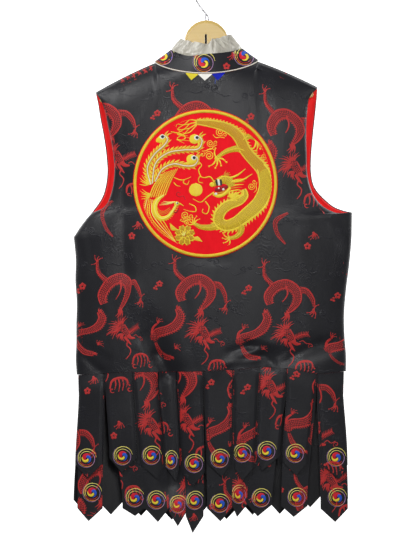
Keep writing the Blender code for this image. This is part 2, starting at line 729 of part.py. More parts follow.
def add_board(wood):
    columns = board_columns()

    def place(across, up, through):
        x = columns[round(across * (len(columns) - 1))]
        top = board_top(x)
        arm_x = math.copysign(max(abs(x), ARM_START), x or 1.0)
        low = shoulder_z(arm_x) - BOARD_CLEARANCE - ARM_HEIGHT
        low -= MIDDLE_DROP * (1.0 - smooth(abs(x) / NECK_HALF))
        end = BOARD_END - abs(x)
        if end < BOARD_END_ROUND:
            left_over = 1.0 - ((BOARD_END_ROUND - end) / BOARD_END_ROUND) ** 2
            shrink = max(BOARD_END_SHARE, math.sqrt(max(0.0, left_over)))
            middle = (top + low) / 2.0
            top, low = mix(middle, top, shrink), mix(middle, low, shrink)
        level = round(up * 3)
        z = (low, low + BOARD_FOOT_BEVEL, top - BOARD_BEVEL, top)[level]
        foot = BOARD_HALF_THICKNESS - BOARD_FOOT_BEVEL
        half = (foot, BOARD_HALF_THICKNESS, BOARD_HALF_THICKNESS, BOARD_TOP_HALF_THICKNESS)[level]
        return Vector((x, -mix(-half, half, through), z))

    board = add_wall("hanger_board", len(columns) - 1, 3, place, 0.0, 1.0, wood)
    slot = bmesh.new()
    bmesh.ops.create_cube(slot, size=1.0)
    bmesh.ops.scale(slot, vec=(SLOT_WIDTH, 4.0 * BOARD_HALF_THICKNESS, SLOT_LENGTH), verts=slot.verts)
    middle = (SLOT_X, 0.0, SLOT_TOP_Z - SLOT_LENGTH / 2.0)
    bmesh.ops.translate(slot, vec=middle, verts=slot.verts)
    cutter = add_object("slot_cutter", slot, wood)
    cutter.hide_render = True
    cutter.display_type = "WIRE"
    cut = board.modifiers.new("slot", "BOOLEAN")
    cut.object = cutter
    cut.operation = "DIFFERENCE"


def smooth_route(points, steps):
    """Points on a smooth curve through the given ones."""
    route = []
    ends = [points[0], *points, points[-1]]
    for a, b, c, d in zip(ends, ends[1:], ends[2:], ends[3:]):
        for step in range(steps):
            s = step / steps
            pull = (c - a) * s + (2.0 * a - 5.0 * b + 4.0 * c - d) * s * s
            pull += (3.0 * b - a - 3.0 * c + d) * s ** 3
            route.append(b + pull * 0.5)
    return route + [points[-1]]


def add_hook(steel):
    centre_z = WIRE_RADIUS - HOOK_RADIUS
    neck = [Vector((x, 0.0, z)) for x, z in HOOK_ROUTE]
    loop = []
    for degrees in range(180, -31, -15):
        angle = math.radians(degrees)
        z = centre_z + HOOK_RADIUS * math.sin(angle)
        loop.append(Vector((HOOK_RADIUS * math.cos(angle), 0.0, z)))
    route = [neck[0], *smooth_route(neck[1:] + loop[:1], 2)] + loop[1:]
    radii = [FERRULE_RADIUS / WIRE_RADIUS] * 2 + [1.0] * (len(route) - 2)
    add_wire("hanger_hook", route, radii, WIRE_RADIUS, steel)


def main():
    remove_everything()
    brocade = material("black_brocade", (0.012, 0.010, 0.011), 0.5)
    red_satin = material("red_satin", (0.52, 0.045, 0.03), 0.4)
    white_satin = material("white_satin", (0.80, 0.78, 0.72), 0.35)
    cord = material("piping_cord", (0.76, 0.70, 0.58), 0.7)
    gold = material("gold_braid", (0.72, 0.48, 0.12), 0.45)
    wood = material("light_plywood", (0.72, 0.52, 0.32), 0.55)
    steel = material("hook_steel", (0.62, 0.62, 0.63), 0.25, 1.0)
    add_panels(brocade)
    add_linings(red_satin)
    add_collar(brocade, white_satin, cord)
    add_pennants()
    add_roundel(red_satin, gold)
    add_strips(brocade)
    add_board(wood)
    add_hook(steel)


main()
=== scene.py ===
"""Dress of a long sleeveless vest of black brocade that hangs on a wooden hanger.

Sizes are in millimetres in the CAD's own frame: +Z is up and the vest's back faces -Y. MM turns a
finished place into metres. Every cloth piece follows the form of its CAD solid, with finer folds.
"""

import logging
import math
from dataclasses import dataclass, replace
from enum import Enum
from typing import Callable, Mapping, Sequence

import bmesh
import bpy
import numpy as np
from mathutils import Matrix, Vector
from mathutils.bvhtree import BVHTree


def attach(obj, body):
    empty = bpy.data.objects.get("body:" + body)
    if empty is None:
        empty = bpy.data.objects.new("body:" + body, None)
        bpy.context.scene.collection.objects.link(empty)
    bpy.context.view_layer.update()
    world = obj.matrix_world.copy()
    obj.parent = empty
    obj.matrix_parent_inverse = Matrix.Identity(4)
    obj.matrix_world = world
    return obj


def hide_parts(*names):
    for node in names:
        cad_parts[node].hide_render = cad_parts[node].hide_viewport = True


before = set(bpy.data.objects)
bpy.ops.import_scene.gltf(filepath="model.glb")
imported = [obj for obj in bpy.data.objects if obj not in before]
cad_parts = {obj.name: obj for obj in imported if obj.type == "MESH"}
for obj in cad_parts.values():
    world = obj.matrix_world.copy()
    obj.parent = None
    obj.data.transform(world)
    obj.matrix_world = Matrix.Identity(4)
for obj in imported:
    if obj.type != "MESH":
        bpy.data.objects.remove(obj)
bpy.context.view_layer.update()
LOG = logging.getLogger("vest")

MM = 0.001
BODY = "root"

Array = np.ndarray
Colour = tuple[float, float, float]
Place = Callable[[Array, Array, Array], Array]

# Walls of the cloth and the gaps between its layers
PANEL_WALL = 2.0
STRIP_WALL = 1.2
COLLAR_WALL = 2.0
INNER_COLLAR_WALL = 1.4
LINING_WALL = 1.0
LINING_GAP = 0.3
FRONT_SPLIT = 0.2

# Neck and shoulders
SHOULDER_HALF = 232.0
NECK_HALF = 108.0
NECK_POINT_Z = (-177.5, -174.5)
SHOULDER_TIP_Z = (-239.2, -228.0)
SHOULDER_BOW = 2.5
BACK_NECK_DEPTH = 50.0
FRONT_NECK_DEPTH = 52.0
BACK_NECK_DROP = 26.5
FRONT_NECK_DROP = 76.0
NECK_POINTING = 0.7
NECK_DIP = 0.75
NECK_SHARE = 4.0 / 9.0

# Plan curve of the body
BODY_SQUARENESS = 2.6
BODY_POINTING = 0.5
EDGE_PULL = 0.35

# Sheet in which the strips hang
FOOT_Z = -1120.0
HANG_HALF = 297.0
HANG_DEPTH = 28.0
HANG_EDGE = 4.5
STRIP_GAP = 0.6
LAYER_GAP = 0.5
LAYER_SPREAD = 3.0

# Round applique
ROUNDEL_X = -2.3
ROUNDEL_Z = -431.8
ROUNDEL_HALF_WIDTH = 151.2
ROUNDEL_HALF_HEIGHT = 155.4
ROUNDEL_LIFT = 1.85
RING_INSET = 4.5
RING_WIDTH = 6.0
RING_HEIGHT = 1.6


class Side(Enum):
    """The two faces of the vest, as the sign of their direction along Y."""

    BACK = -1
    FRONT = 1


class Slot(Enum):
    """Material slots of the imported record."""

    BROCADE = "brocade"
    RED_SATIN = "red_satin"
    WHITE_SATIN = "white_satin"
    PIPING = "piping_cord"
    GOLD = "gold_thread"
    YELLOW = "pennant_yellow"
    WHITE = "pennant_white"
    BLUE = "pennant_blue"
    WOOD = "wood"
    STEEL = "steel"


@dataclass(frozen=True)
class Section:
    """One level of a panel: its two edges, its depths, and its shares of neck curve and top edge."""

    left_x: float
    left_z: float
    right_x: float
    right_z: float
    edge_y: float
    depth: float
    neck: float
    rise: float


@dataclass(frozen=True)
class Fold:
    """A trough from one place to another, or a ridge where its depth is negative."""

    x1: float
    z1: float
    depth1: float
    x2: float
    z2: float
    depth2: float
    width: float


@dataclass(frozen=True)
class Lane:
    """A hanging strip: its top edge, its foot, and its pointed end."""

    top_left: float
    top_right: float
    foot_left: float
    foot_right: float
    corner_z: float
    tip_x: float
    tip_z: float


@dataclass(frozen=True)
class Ring:
    """A level line round the neck: half width, depths, heights at both sides, and drops."""

    half_x: float
    back_y: float
    front_y: float
    left_z: float
    right_z: float
    back_drop: float
    front_drop: float


SIDES = (
    Section(-272.4, -831.0, 293.0, -825.0, 0.15, 40.0, 0.0, 0.0),
    Section(-274.5, -800.0, 293.0, -790.0, 0.15, 41.0, 0.0, 0.0),
    Section(-273.4, -765.0, 290.0, -752.0, 0.15, 42.0, 0.0, 0.0),
    Section(-273.4, -725.0, 289.0, -706.0, 0.15, 43.0, 0.0, 0.0),
    Section(-272.4, -680.0, 293.0, -655.0, 0.15, 44.0, 0.0, 0.0),
    Section(-275.3, -635.0, 299.5, -603.0, 0.15, 45.0, 0.0, 0.0),
    Section(-274.5, -590.0, 304.5, -548.0, 0.15, 46.0, 0.0, 0.0),
    Section(-278.7, -543.5, 305.6, -491.5, 0.15, 47.0, 0.0, 0.0),
)
BACK_ARMHOLES = (
    Section(-244.7, -497.0, 272.0, -492.0, 5.0, 47.0, 0.0, 0.0),
    Section(-214.0, -480.0, 241.0, -476.0, 11.0, 46.5, 0.0, 0.0),
    Section(-200.0, -452.0, 222.0, -450.0, 15.0, 46.0, 0.0, 0.05),
    Section(-193.0, -410.0, 211.5, -412.0, 17.0, 46.0, 0.0, 0.2),
    Section(-196.0, -366.0, 210.0, -370.0, 17.0, 46.0, 0.02, 0.4),
    Section(-203.7, -325.0, 209.0, -325.0, 16.0, 46.5, 0.08, 0.6),
    Section(-212.0, -285.0, 211.0, -282.0, 14.0, 47.0, 0.25, 0.8),
    Section(-220.0, -260.0, 216.0, -250.0, 12.0, 48.0, 0.6, 0.92),
    Section(-230.0, -244.2, 231.0, -233.0, 9.0, 49.5, 1.0, 1.0),
    Section(-232.0, -239.2, 232.0, -228.0, 0.15, 50.0, 1.0, 1.0),
)
FRONT_ARMHOLES = (
    Section(-262.0, -518.0, 283.0, -486.0, 5.0, 47.0, 0.0, 0.0),
    Section(-238.0, -488.0, 260.0, -474.0, 11.0, 46.5, 0.0, 0.0),
    Section(-217.0, -455.0, 229.0, -442.0, 15.0, 46.0, 0.0, 0.05),
    Section(-208.5, -412.0, 220.0, -408.0, 17.0, 46.0, 0.0, 0.2),
    Section(-210.5, -370.0, 220.5, -368.0, 17.0, 46.0, 0.02, 0.4),
    Section(-216.0, -331.0, 224.0, -327.0, 16.0, 46.5, 0.08, 0.6),
    Section(-223.0, -294.0, 228.0, -290.0, 14.0, 47.0, 0.25, 0.8),
    Section(-228.0, -263.0, 231.5, -256.0, 12.0, 48.0, 0.6, 0.92),
    Section(-232.0, -244.2, 233.0, -233.0, 9.0, 51.5, 1.0, 1.0),
    Section(-232.0, -239.2, 232.0, -228.0, 0.15, 52.0, 1.0, 1.0),
)
UNDERARM_ROW = 7
SHOULDER_ROLL_ROW = 16
TOP_ROW = 17
LINING_TOP_ROW = 15
LINING_SHARE = 4.0 / 18.0

BACK_FOLDS = (
    Fold(-122.0, -730.0, 5.0, -74.0, -830.0, 15.0, 26.0),
    Fold(-74.0, -830.0, 15.0, -66.0, -1060.0, 13.0, 28.0),
    Fold(291.0, -755.0, 6.0, 123.0, -803.0, 5.0, 20.0),
    Fold(-172.0, -430.0, 2.0, -168.0, -620.0, 4.0, 20.0),
    Fold(262.0, -505.0, 3.0, 292.0, -560.0, 4.0, 18.0),
    Fold(-272.0, -782.0, 4.0, -224.0, -826.0, 4.0, 20.0),
)
FRONT_FOLDS = (
    Fold(150.0, -700.0, 4.0, 118.0, -830.0, 12.0, 28.0),
    Fold(118.0, -830.0, 12.0, 110.0, -1060.0, 10.0, 30.0),
    Fold(-270.0, -745.0, 5.0, -110.0, -800.0, 5.0, 22.0),
    Fold(170.0, -470.0, 3.0, 160.0, -640.0, 4.0, 22.0),
    Fold(-250.0, -520.0, 3.0, -200.0, -580.0, 4.0, 20.0),
)

# Fine creases, which the solids leave out
BACK_CREASES = (
    Fold(-130.0, -745.0, 2.0, -104.0, -790.0, 5.0, 10.0),
    Fold(-104.0, -790.0, 5.0, -82.0, -830.0, 7.0, 11.0),
    Fold(-112.0, -735.0, 1.0, -88.0, -800.0, 2.0, 4.0),
    Fold(52.0, -784.0, 3.0, 90.0, -771.0, 5.0, 9.0),
    Fold(90.0, -771.0, 5.0, 128.0, -775.0, 4.0, 8.0),
    Fold(114.0, -790.0, 5.0, 140.0, -812.0, 4.0, 9.0),
    Fold(240.0, -763.0, 2.5, 178.0, -792.0, 4.0, 6.0),
    Fold(40.0, -808.0, -2.5, 112.0, -799.0, -2.5, 6.0),
    Fold(146.0, -802.0, -2.5, 226.0, -772.0, -2.0, 7.0),
    Fold(-270.0, -790.0, 2.5, -220.0, -824.0, 3.0, 6.0),
    Fold(-140.0, -770.0, -1.5, -104.0, -828.0, -3.0, 10.0),
    Fold(-86.0, -748.0, -1.0, -52.0, -826.0, -2.5, 11.0),
    Fold(60.0, -806.0, 2.0, 132.0, -786.0, 3.0, 8.0),
    Fold(70.0, -790.0, -1.5, 140.0, -768.0, -2.0, 9.0),
    Fold(140.0, -800.0, 2.0, 208.0, -800.0, 1.0, 8.0),
    Fold(292.0, -736.0, -2.0, 200.0, -776.0, -1.5, 12.0),
    Fold(292.0, -772.0, 2.0, 214.0, -800.0, 1.0, 8.0),
    Fold(252.0, -500.0, 1.6, 276.0, -556.0, 1.2, 6.0),
    Fold(272.0, -500.0, -1.8, 296.0, -540.0, -1.2, 7.0),
    Fold(286.0, -498.0, 1.6, 301.0, -526.0, 1.0, 5.0),
    Fold(226.0, -486.0, 1.2, 262.0, -600.0, 0.6, 10.0),
    Fold(-254.0, -520.0, 1.4, -236.0, -610.0, 0.8, 8.0),
    Fold(-232.0, -500.0, -1.2, -210.0, -640.0, -0.6, 12.0),
    Fold(-176.0, -250.0, 0.8, -172.0, -620.0, 1.6, 9.0),
    Fold(-158.0, -560.0, -1.0, -140.0, -740.0, -1.6, 12.0),
    Fold(-270.0, -760.0, 1.6, -206.0, -800.0, 1.2, 8.0),
    Fold(-268.0, -800.0, -1.8, -214.0, -822.0, -1.0, 7.0),
    Fold(-60.0, -600.0, 0.8, -24.0, -820.0, 1.6, 13.0),
    Fold(10.0, -610.0, -0.8, 18.0, -820.0, -1.2, 14.0),
    Fold(96.0, -560.0, 0.8, 150.0, -760.0, 1.2, 14.0),
    Fold(196.0, -540.0, -1.0, 216.0, -740.0, -0.6, 14.0),
    Fold(168.0, -250.0, 1.0, 190.0, -470.0, 0.8, 12.0),
    Fold(-96.0, -214.0, 0.8, -150.0, -330.0, 0.6, 10.0),
    Fold(104.0, -212.0, 0.8, 158.0, -330.0, 0.6, 10.0),
    Fold(-40.0, -588.0, 0.9, 46.0, -592.0, 0.9, 6.0),
)
FRONT_CREASES = (
    Fold(134.0, -720.0, 1.5, 128.0, -828.0, 3.0, 8.0),
    Fold(166.0, -740.0, -1.2, 150.0, -828.0, -2.6, 11.0),
    Fold(104.0, -740.0, -1.2, 92.0, -828.0, -2.4, 11.0),
    Fold(-60.0, -800.0, 2.0, -138.0, -776.0, 2.6, 9.0),
    Fold(-250.0, -505.0, 1.6, -278.0, -560.0, 1.2, 7.0),
    Fold(-262.0, -730.0, -1.8, -196.0, -776.0, -1.2, 11.0),
    Fold(252.0, -505.0, 1.4, 238.0, -610.0, 0.8, 9.0),
    Fold(178.0, -260.0, 0.8, 172.0, -620.0, 1.4, 10.0),
    Fold(-176.0, -260.0, 0.8, -190.0, -620.0, 1.2, 12.0),
    Fold(60.0, -420.0, 0.7, 52.0, -800.0, 1.4, 14.0),
    Fold(-58.0, -380.0, -0.7, -70.0, -780.0, -1.4, 14.0),
    Fold(-24.0, -300.0, 0.6, -30.0, -800.0, 1.0, 11.0),
    Fold(26.0, -300.0, 0.6, 22.0, -800.0, 1.0, 11.0),
    Fold(268.0, -790.0, 1.6, 206.0, -816.0, 1.2, 8.0),
)
HIP_WAVE = (
    (-1.0, -1.0),
    (-0.6, 4.0),
    (-0.15, 4.0),
    (0.2, 7.0),
    (0.35, 12.0),
    (0.56, 8.0),
    (0.8, -4.0),
    (1.0, 0.0),
)

BACK_UPPER = (
    Lane(-268.0, -217.0, -278.0, -218.0, -1019.0, -249.0, -1049.0),
    Lane(-213.0, -155.0, -205.0, -145.0, -1006.0, -177.0, -1036.5),
    Lane(-151.0, -101.5, -141.0, -88.0, -1018.0, -104.0, -1049.0),
    Lane(-99.5, -64.7, -86.5, -56.0, -1025.0, -64.0, -1055.0),
    Lane(-61.0, -8.6, -53.5, -2.5, -1036.0, -29.0, -1066.0),
    Lane(-3.0, 54.6, -1.0, 54.0, -1015.0, 32.0, -1045.0),
    Lane(57.8, 108.0, 56.0, 102.0, -1024.0, 74.5, -1053.5),
    Lane(112.4, 167.0, 104.0, 155.0, -1002.0, 116.0, -1032.5),
    Lane(170.3, 228.5, 158.0, 215.0, -1013.0, 188.0, -1043.0),
    Lane(234.2, 287.0, 241.0, 298.5, -1021.0, 278.0, -1051.0),
)
BACK_LOWER = (
    Lane(-268.0, -217.0, -271.0, -219.5, -1112.0, -248.0, -1139.0),
    Lane(-213.0, -155.0, -175.0, -131.5, -1112.0, -150.0, -1128.0),
    Lane(-151.0, -101.5, -129.0, -79.0, -1111.0, -102.0, -1140.5),
    Lane(-99.5, -64.7, -77.0, -43.5, -1120.0, -60.0, -1149.5),
    Lane(-61.0, -8.6, -42.0, -7.5, -1128.0, -29.0, -1163.5),
    Lane(-3.0, 54.6, 2.5, 53.0, -1112.0, 29.0, -1139.0),
    Lane(57.8, 108.0, 54.5, 84.5, -1104.0, 64.0, -1130.0),
    Lane(112.4, 167.0, 87.5, 136.5, -1104.0, 107.0, -1129.0),
    Lane(170.3, 228.5, 158.0, 211.0, -1107.0, 183.0, -1130.0),
    Lane(234.2, 287.0, 241.0, 297.0, -1113.0, 270.5, -1141.0),
)
FRONT_UPPER_FEET = (
    (-4.0, -1040.0),
    (-5.0, -1046.0),
    (3.0, -1038.0),
    (0.0, -1044.0),
    (1.0, -1050.0),
    (3.0, -1048.0),
    (1.0, -1040.0),
    (-1.0, -1046.0),
    (4.0, -1042.0),
    (5.0, -1038.0),
)
FRONT_LOWER_FEET = (
    (-14.0, -1124.0),
    (-17.0, -1127.0),
    (-9.0, -1130.0),
    (0.0, -1138.0),
    (-3.0, -1134.0),
    (4.0, -1137.0),
    (3.0, -1128.0),
    (5.0, -1126.0),
    (13.0, -1112.0),
    (11.0, -1122.0),
)
FRONT_FOOT_HALF = 26.0
FRONT_POINT = 29.0
FRONT_LANE_GAP = 3.0
FRONT_HIP_INSET = 4.0

NECK_RING = Ring(NECK_HALF, BACK_NECK_DEPTH, FRONT_NECK_DEPTH, -177.5, -174.5, 26.5, 76.0)
COLLAR_TOP_RING = Ring(75.0, 40.0, 42.0, -149.5, -146.5, 12.0, 62.0)
INNER_TOP_RING = Ring(55.0, 30.0, 31.0, -128.0, -124.0, 8.0, 58.0)
PIPING_LIFT = 1.5
PIPING_RADIUS = 1.15
OPENING_ANGLE = math.radians(0.25)


def mix(low: Array, high: Array, share: Array) -> Array:
    """A value between two others."""
    return low + (high - low) * share


def smooth(value: Array) -> Array:
    """A soft step from 0 to 1."""
    value = np.clip(value, 0.0, 1.0)
    return value * value * (3.0 - 2.0 * value)


def stepped(table: Sequence[tuple[float, float]], at: Array) -> Array:
    """Read a table of places and values, with a soft step between each two.

    Args:
        table: Places in rising order, each with its value.
        at: Where to read it.

    Returns:
        The value at each place.
    """
    places, values = np.array(table).T
    low = np.clip(np.searchsorted(places, at, side="right") - 1, 0, len(places) - 2)
    share = (at - places[low]) / (places[low + 1] - places[low])
    return mix(values[low], values[low + 1], smooth(share))


def curve_through(points: Sequence[Sequence[float]], steps: int) -> Array:
    """A smooth curve through points, with the same number of steps between each two.

    Args:
        points: Places in any number of dimensions.
        steps: How many steps each stretch gets.

    Returns:
        The places along the curve, one row each.
    """
    knots = np.array(points, dtype=float)
    first = 2.0 * knots[0] - knots[1]
    last = 2.0 * knots[-1] - knots[-2]
    ends = np.vstack([first, knots, last])
    share = np.linspace(0.0, 1.0, steps, endpoint=False)[:, None]
    pieces = []
    for a, b, c, d in zip(ends, ends[1:], ends[2:], ends[3:]):
        bend = (c - a) * share + (2.0 * a - 5.0 * b + 4.0 * c - d) * share**2
        bend = bend + (3.0 * b - a - 3.0 * c + d) * share**3
        pieces.append(b + 0.5 * bend)
    return np.vstack([*pieces, knots[-1:]])


def unit(vectors: Array) -> Array:
    """Vectors of length one."""
    lengths = np.linalg.norm(vectors, axis=-1, keepdims=True)
    return vectors / np.maximum(lengths, 1e-9)


# Shader maths


class Value:
    """A socket of a material that can stand in a Python expression."""

    def __init__(self, graph: "Graph", socket: bpy.types.NodeSocket) -> None:
        """Keep the socket and the graph that new nodes go into."""
        self.graph = graph
        self.socket = socket

    def __add__(self, other: "Value | float") -> "Value":
        """Add a value or a number."""
        return self.graph.maths("ADD", self, other)

    def __radd__(self, other: float) -> "Value":
        """Add this value to a number."""
        return self.graph.maths("ADD", other, self)

    def __sub__(self, other: "Value | float") -> "Value":
        """Take a value or a number away."""
        return self.graph.maths("SUBTRACT", self, other)

    def __rsub__(self, other: float) -> "Value":
        """Take this value from a number."""
        return self.graph.maths("SUBTRACT", other, self)

    def __mul__(self, other: "Value | float") -> "Value":
        """Multiply by a value or a number."""
        return self.graph.maths("MULTIPLY", self, other)

    def __rmul__(self, other: float) -> "Value":
        """Multiply a number by this value."""
        return self.graph.maths("MULTIPLY", other, self)

    def __truediv__(self, other: "Value | float") -> "Value":
        """Divide by a value or a number."""
        return self.graph.maths("DIVIDE", self, other)

    def __pow__(self, other: "Value | float") -> "Value":
        """Raise to a power."""
        return self.graph.maths("POWER", self, other)


class Graph:
    """A new material and the nodes that are added to it."""

    def __init__(self, name: str) -> None:
        """Make the material with its Principled shader.

        Args:
            name: The material's name.
        """
        self.material = bpy.data.materials.new(name)
        self.material.use_nodes = True
        self.tree = self.material.node_tree
        self.shader = self.tree.nodes["Principled BSDF"]

    def node(
        self,
        kind: str,
        settings: Mapping[str, object] | None = None,
        inputs: Mapping[str | int, object] | None = None,
    ) -> bpy.types.Node:
        """Add any node.

        Args:
            kind: Blender's name of the node type.
            settings: Its properties, and a ramp's stops as pairs of place and colour.
            inputs: Values or links of its sockets, by name or number.

        Returns:
            The node.
        """
        made = self.tree.nodes.new(kind)
        for name, value in (settings or {}).items():
            if name == "stops":
                self.set_stops(made.color_ramp, value)
            else:
                setattr(made, name, value)
        for name, value in (inputs or {}).items():
            self.feed(made.inputs[name], value)
        return made

    def set_stops(self, ramp: bpy.types.ColorRamp, stops: Sequence[tuple[float, Colour]]) -> None:
        """Give a colour ramp its stops.

        Args:
            ramp: The ramp to change.
            stops: Pairs of place and colour.
        """
        while len(ramp.elements) < len(stops):
            ramp.elements.new(1.0)
        for element, (place, colour) in zip(ramp.elements, stops):
            element.position = place
            element.color = (*colour, 1.0)

    def feed(self, socket: bpy.types.NodeSocket, value: object) -> None:
        """Link a value to a socket, or set the socket to a number or a colour.

        Args:
            socket: The socket to link or set.
            value: A value of the graph, a number or a colour.
        """
        if isinstance(value, Value):
            self.tree.links.new(value.socket, socket)
        elif isinstance(value, tuple) and socket.type == "RGBA":
            socket.default_value = (*value, 1.0)
        else:
            socket.default_value = value

    def set(self, **values: object) -> None:
        """Set or link the shader's sockets, with _ for a space in a name."""
        for name, value in values.items():
            self.feed(self.shader.inputs[name.replace("_", " ")], value)

    def clear_from_behind(self) -> None:
        """Let the surface be seen through from its back."""
        side = Value(self, self.node("ShaderNodeNewGeometry").outputs["Backfacing"])
        clear = Value(self, self.node("ShaderNodeBsdfTransparent").outputs[0])
        front = Value(self, self.shader.outputs[0])
        made = self.node("ShaderNodeMixShader", None, {0: side, 1: front, 2: clear})
        self.feed(self.tree.nodes["Material Output"].inputs["Surface"], Value(self, made.outputs[0]))

    def maths(self, operation: str, *values: "Value | float") -> Value:
        """Add a Math node."""
        made = self.node("ShaderNodeMath", {"operation": operation}, dict(enumerate(values)))
        return Value(self, made.outputs[0])

    def clamp(self, value: Value) -> Value:
        """Keep a value between 0 and 1."""
        made = self.node("ShaderNodeClamp", None, {"Value": value})
        return Value(self, made.outputs[0])

    def blend(self, share: Value, low: "Value | Colour", high: "Value | Colour") -> Value:
        """Mix two colours by a share.

        Args:
            share: How far it lies from the first to the second.
            low: What a share of 0 gives.
            high: What a share of 1 gives.

        Returns:
            The value.
        """
        settings = {"data_type": "RGBA", "clamp_factor": True}
        made = self.node("ShaderNodeMix", settings, {0: share, 6: low, 7: high})
        return Value(self, made.outputs[2])

    def uv(self) -> Value:
        """The piece's own UV map, in millimetres."""
        made = self.node("ShaderNodeTexCoord")
        return Value(self, made.outputs["UV"])

    def place(self) -> Value:
        """A point's place on the piece, in metres."""
        made = self.node("ShaderNodeTexCoord")
        return Value(self, made.outputs["Object"])

    def scaled(self, vector: Value, scale: Sequence[float]) -> Value:
        """A vector with each part multiplied."""
        made = self.node("ShaderNodeMapping", None, {"Vector": vector, "Scale": tuple(scale)})
        return Value(self, made.outputs[0])

    def parts(self, vector: Value) -> tuple[Value, Value, Value]:
        """The three parts of a vector."""
        made = self.node("ShaderNodeSeparateXYZ", None, {0: vector})
        return tuple(Value(self, output) for output in made.outputs)

    def noise(self, vector: Value, scale: float, detail: float = 2.0) -> Value:
        """Soft noise from 0 to 1.

        Args:
            vector: Where the cells are looked up.
            scale: Millimetres to a unit of the mesh.
            detail: How fine its detail is.

        Returns:
            The value.
        """
        inputs = {"Vector": vector, "Scale": scale, "Detail": detail}
        made = self.node("ShaderNodeTexNoise", None, inputs)
        return Value(self, made.outputs[0])

    def cells(self, vector: Value, scale: float, jitter: float) -> Value:
        """Distance to the nearest edge between cells.

        Args:
            vector: Where the cells are looked up.
            scale: Cells to a unit.
            jitter: How uneven the cells are.

        Returns:
            The value.
        """
        settings = {"feature": "DISTANCE_TO_EDGE"}
        inputs = {"Vector": vector, "Scale": scale, "Randomness": jitter}
        made = self.node("ShaderNodeTexVoronoi", settings, inputs)
        return Value(self, made.outputs["Distance"])

    def wave(self, value: Value, pitch: float) -> Value:
        """A ripple from 0 to 1 with the given pitch."""
        turned = value * (2.0 * math.pi / pitch)
        return self.maths("SINE", turned) * 0.5 + 0.5

    def bump(self, height: Value, strength: float, distance: float) -> Value:
        """A bumped normal, with its distance in millimetres.

        Args:
            height: How high it stands.
            strength: How strong it is.
            distance: Height in millimetres of a share of 1.

        Returns:
            The value.
        """
        inputs = {"Strength": strength, "Distance": distance * MM, "Height": height}
        made = self.node("ShaderNodeBump", None, inputs)
        return Value(self, made.outputs[0])


# Finishes


@dataclass(frozen=True)
class Satin:
    """Satin cloth: a colour that turns deeper in the mottling, fine threads, a soft sheen, and an optional
    painted glow in its own colour that lightens it where it lies in shade.
    """

    name: str
    colour: Colour
    deep: Colour
    roughness: float = 0.4
    sheen: float = 0.3
    thread: float = 0.55
    crush: float = 0.0
    gloss: float = 0.35
    painted_glow: float = 0.0

    def build(self) -> bpy.types.Material:
        """Make the material.

        Returns:
            The material.
        """
        graph = Graph(self.name)
        uv = graph.uv()
        across, along, _ = graph.parts(uv)
        mottling = graph.noise(graph.scaled(uv, (0.05, 0.02, 1.0)), 1.0, 3.0)
        fine = graph.noise(graph.scaled(uv, (0.5, 0.12, 1.0)), 1.0, 2.0)
        share = graph.clamp((mottling - 0.3) * 1.6 + (fine - 0.5) * 0.5)
        weave = graph.wave(across, self.thread) * 0.6 + graph.wave(along, self.thread * 1.6) * 0.4
        crumple = graph.noise(graph.scaled(uv, (0.09, 0.035, 1.0)), 1.0, 3.0)
        height = weave * 0.04 + fine * 0.12 + crumple * self.crush
        graph.set(
            Base_Color=graph.blend(share, self.deep, self.colour),
            Roughness=graph.clamp(mottling * 0.12 + (self.roughness - 0.05)),
            Normal=graph.bump(height, 0.6, 1.2),
            Sheen_Weight=self.sheen,
            Sheen_Roughness=0.45,
            Specular_IOR_Level=self.gloss,
            # Painted light: the emission makes the cloth glow in its own colour and lightens it where it
            # lies in shade. It is no lamp.
            Emission_Color=self.colour,
            Emission_Strength=self.painted_glow,
        )
        return graph.material


@dataclass(frozen=True)
class Brocade:
    """The black ground of the brocade, with a faint cloud figure in its gloss."""

    name: str
    colour: Colour
    glossy: Colour

    def build(self) -> bpy.types.Material:
        """Make the material.

        Returns:
            The material.
        """
        graph = Graph(self.name)
        uv = graph.uv()
        across, along, _ = graph.parts(uv)
        warped = graph.scaled(uv, (0.035, 0.035, 1.0))
        figure = graph.noise(warped, 1.0, 1.0)
        rings = graph.wave(figure, 0.085)
        patches = graph.clamp((graph.noise(graph.scaled(uv, (0.012, 0.012, 1.0)), 1.0, 1.0) - 0.5) * 7.0)
        scroll = graph.clamp((rings - 0.62) * 6.0) * patches
        twill = graph.wave(across + along * 0.5, 0.8)
        fine = graph.noise(graph.scaled(uv, (0.6, 0.25, 1.0)), 1.0, 2.0)
        tone = graph.noise(graph.scaled(uv, (0.02, 0.012, 1.0)), 1.0, 2.0)
        share = graph.clamp(scroll * 0.5 + tone * 0.5 + (fine - 0.5) * 0.3)
        crumple = graph.noise(graph.scaled(uv, (0.022, 0.009, 1.0)), 1.0, 3.0)
        height = twill * 0.05 + fine * 0.1 + scroll * 0.2 + crumple * 2.4
        graph.set(
            Base_Color=graph.blend(share, self.colour, self.glossy),
            Roughness=graph.clamp(0.42 - scroll * 0.16 + (fine - 0.5) * 0.1),
            Normal=graph.bump(height, 0.5, 1.0),
            Sheen_Weight=0.04,
            Sheen_Roughness=0.5,
            Sheen_Tint=(0.75, 0.8, 1.0),
            Specular_IOR_Level=0.29,
        )
        return graph.material


class Pattern(Enum):
    """How a ribbon of thread is worked."""

    PLAIN = "plain"
    SCALES = "scales"
    BARBS = "barbs"


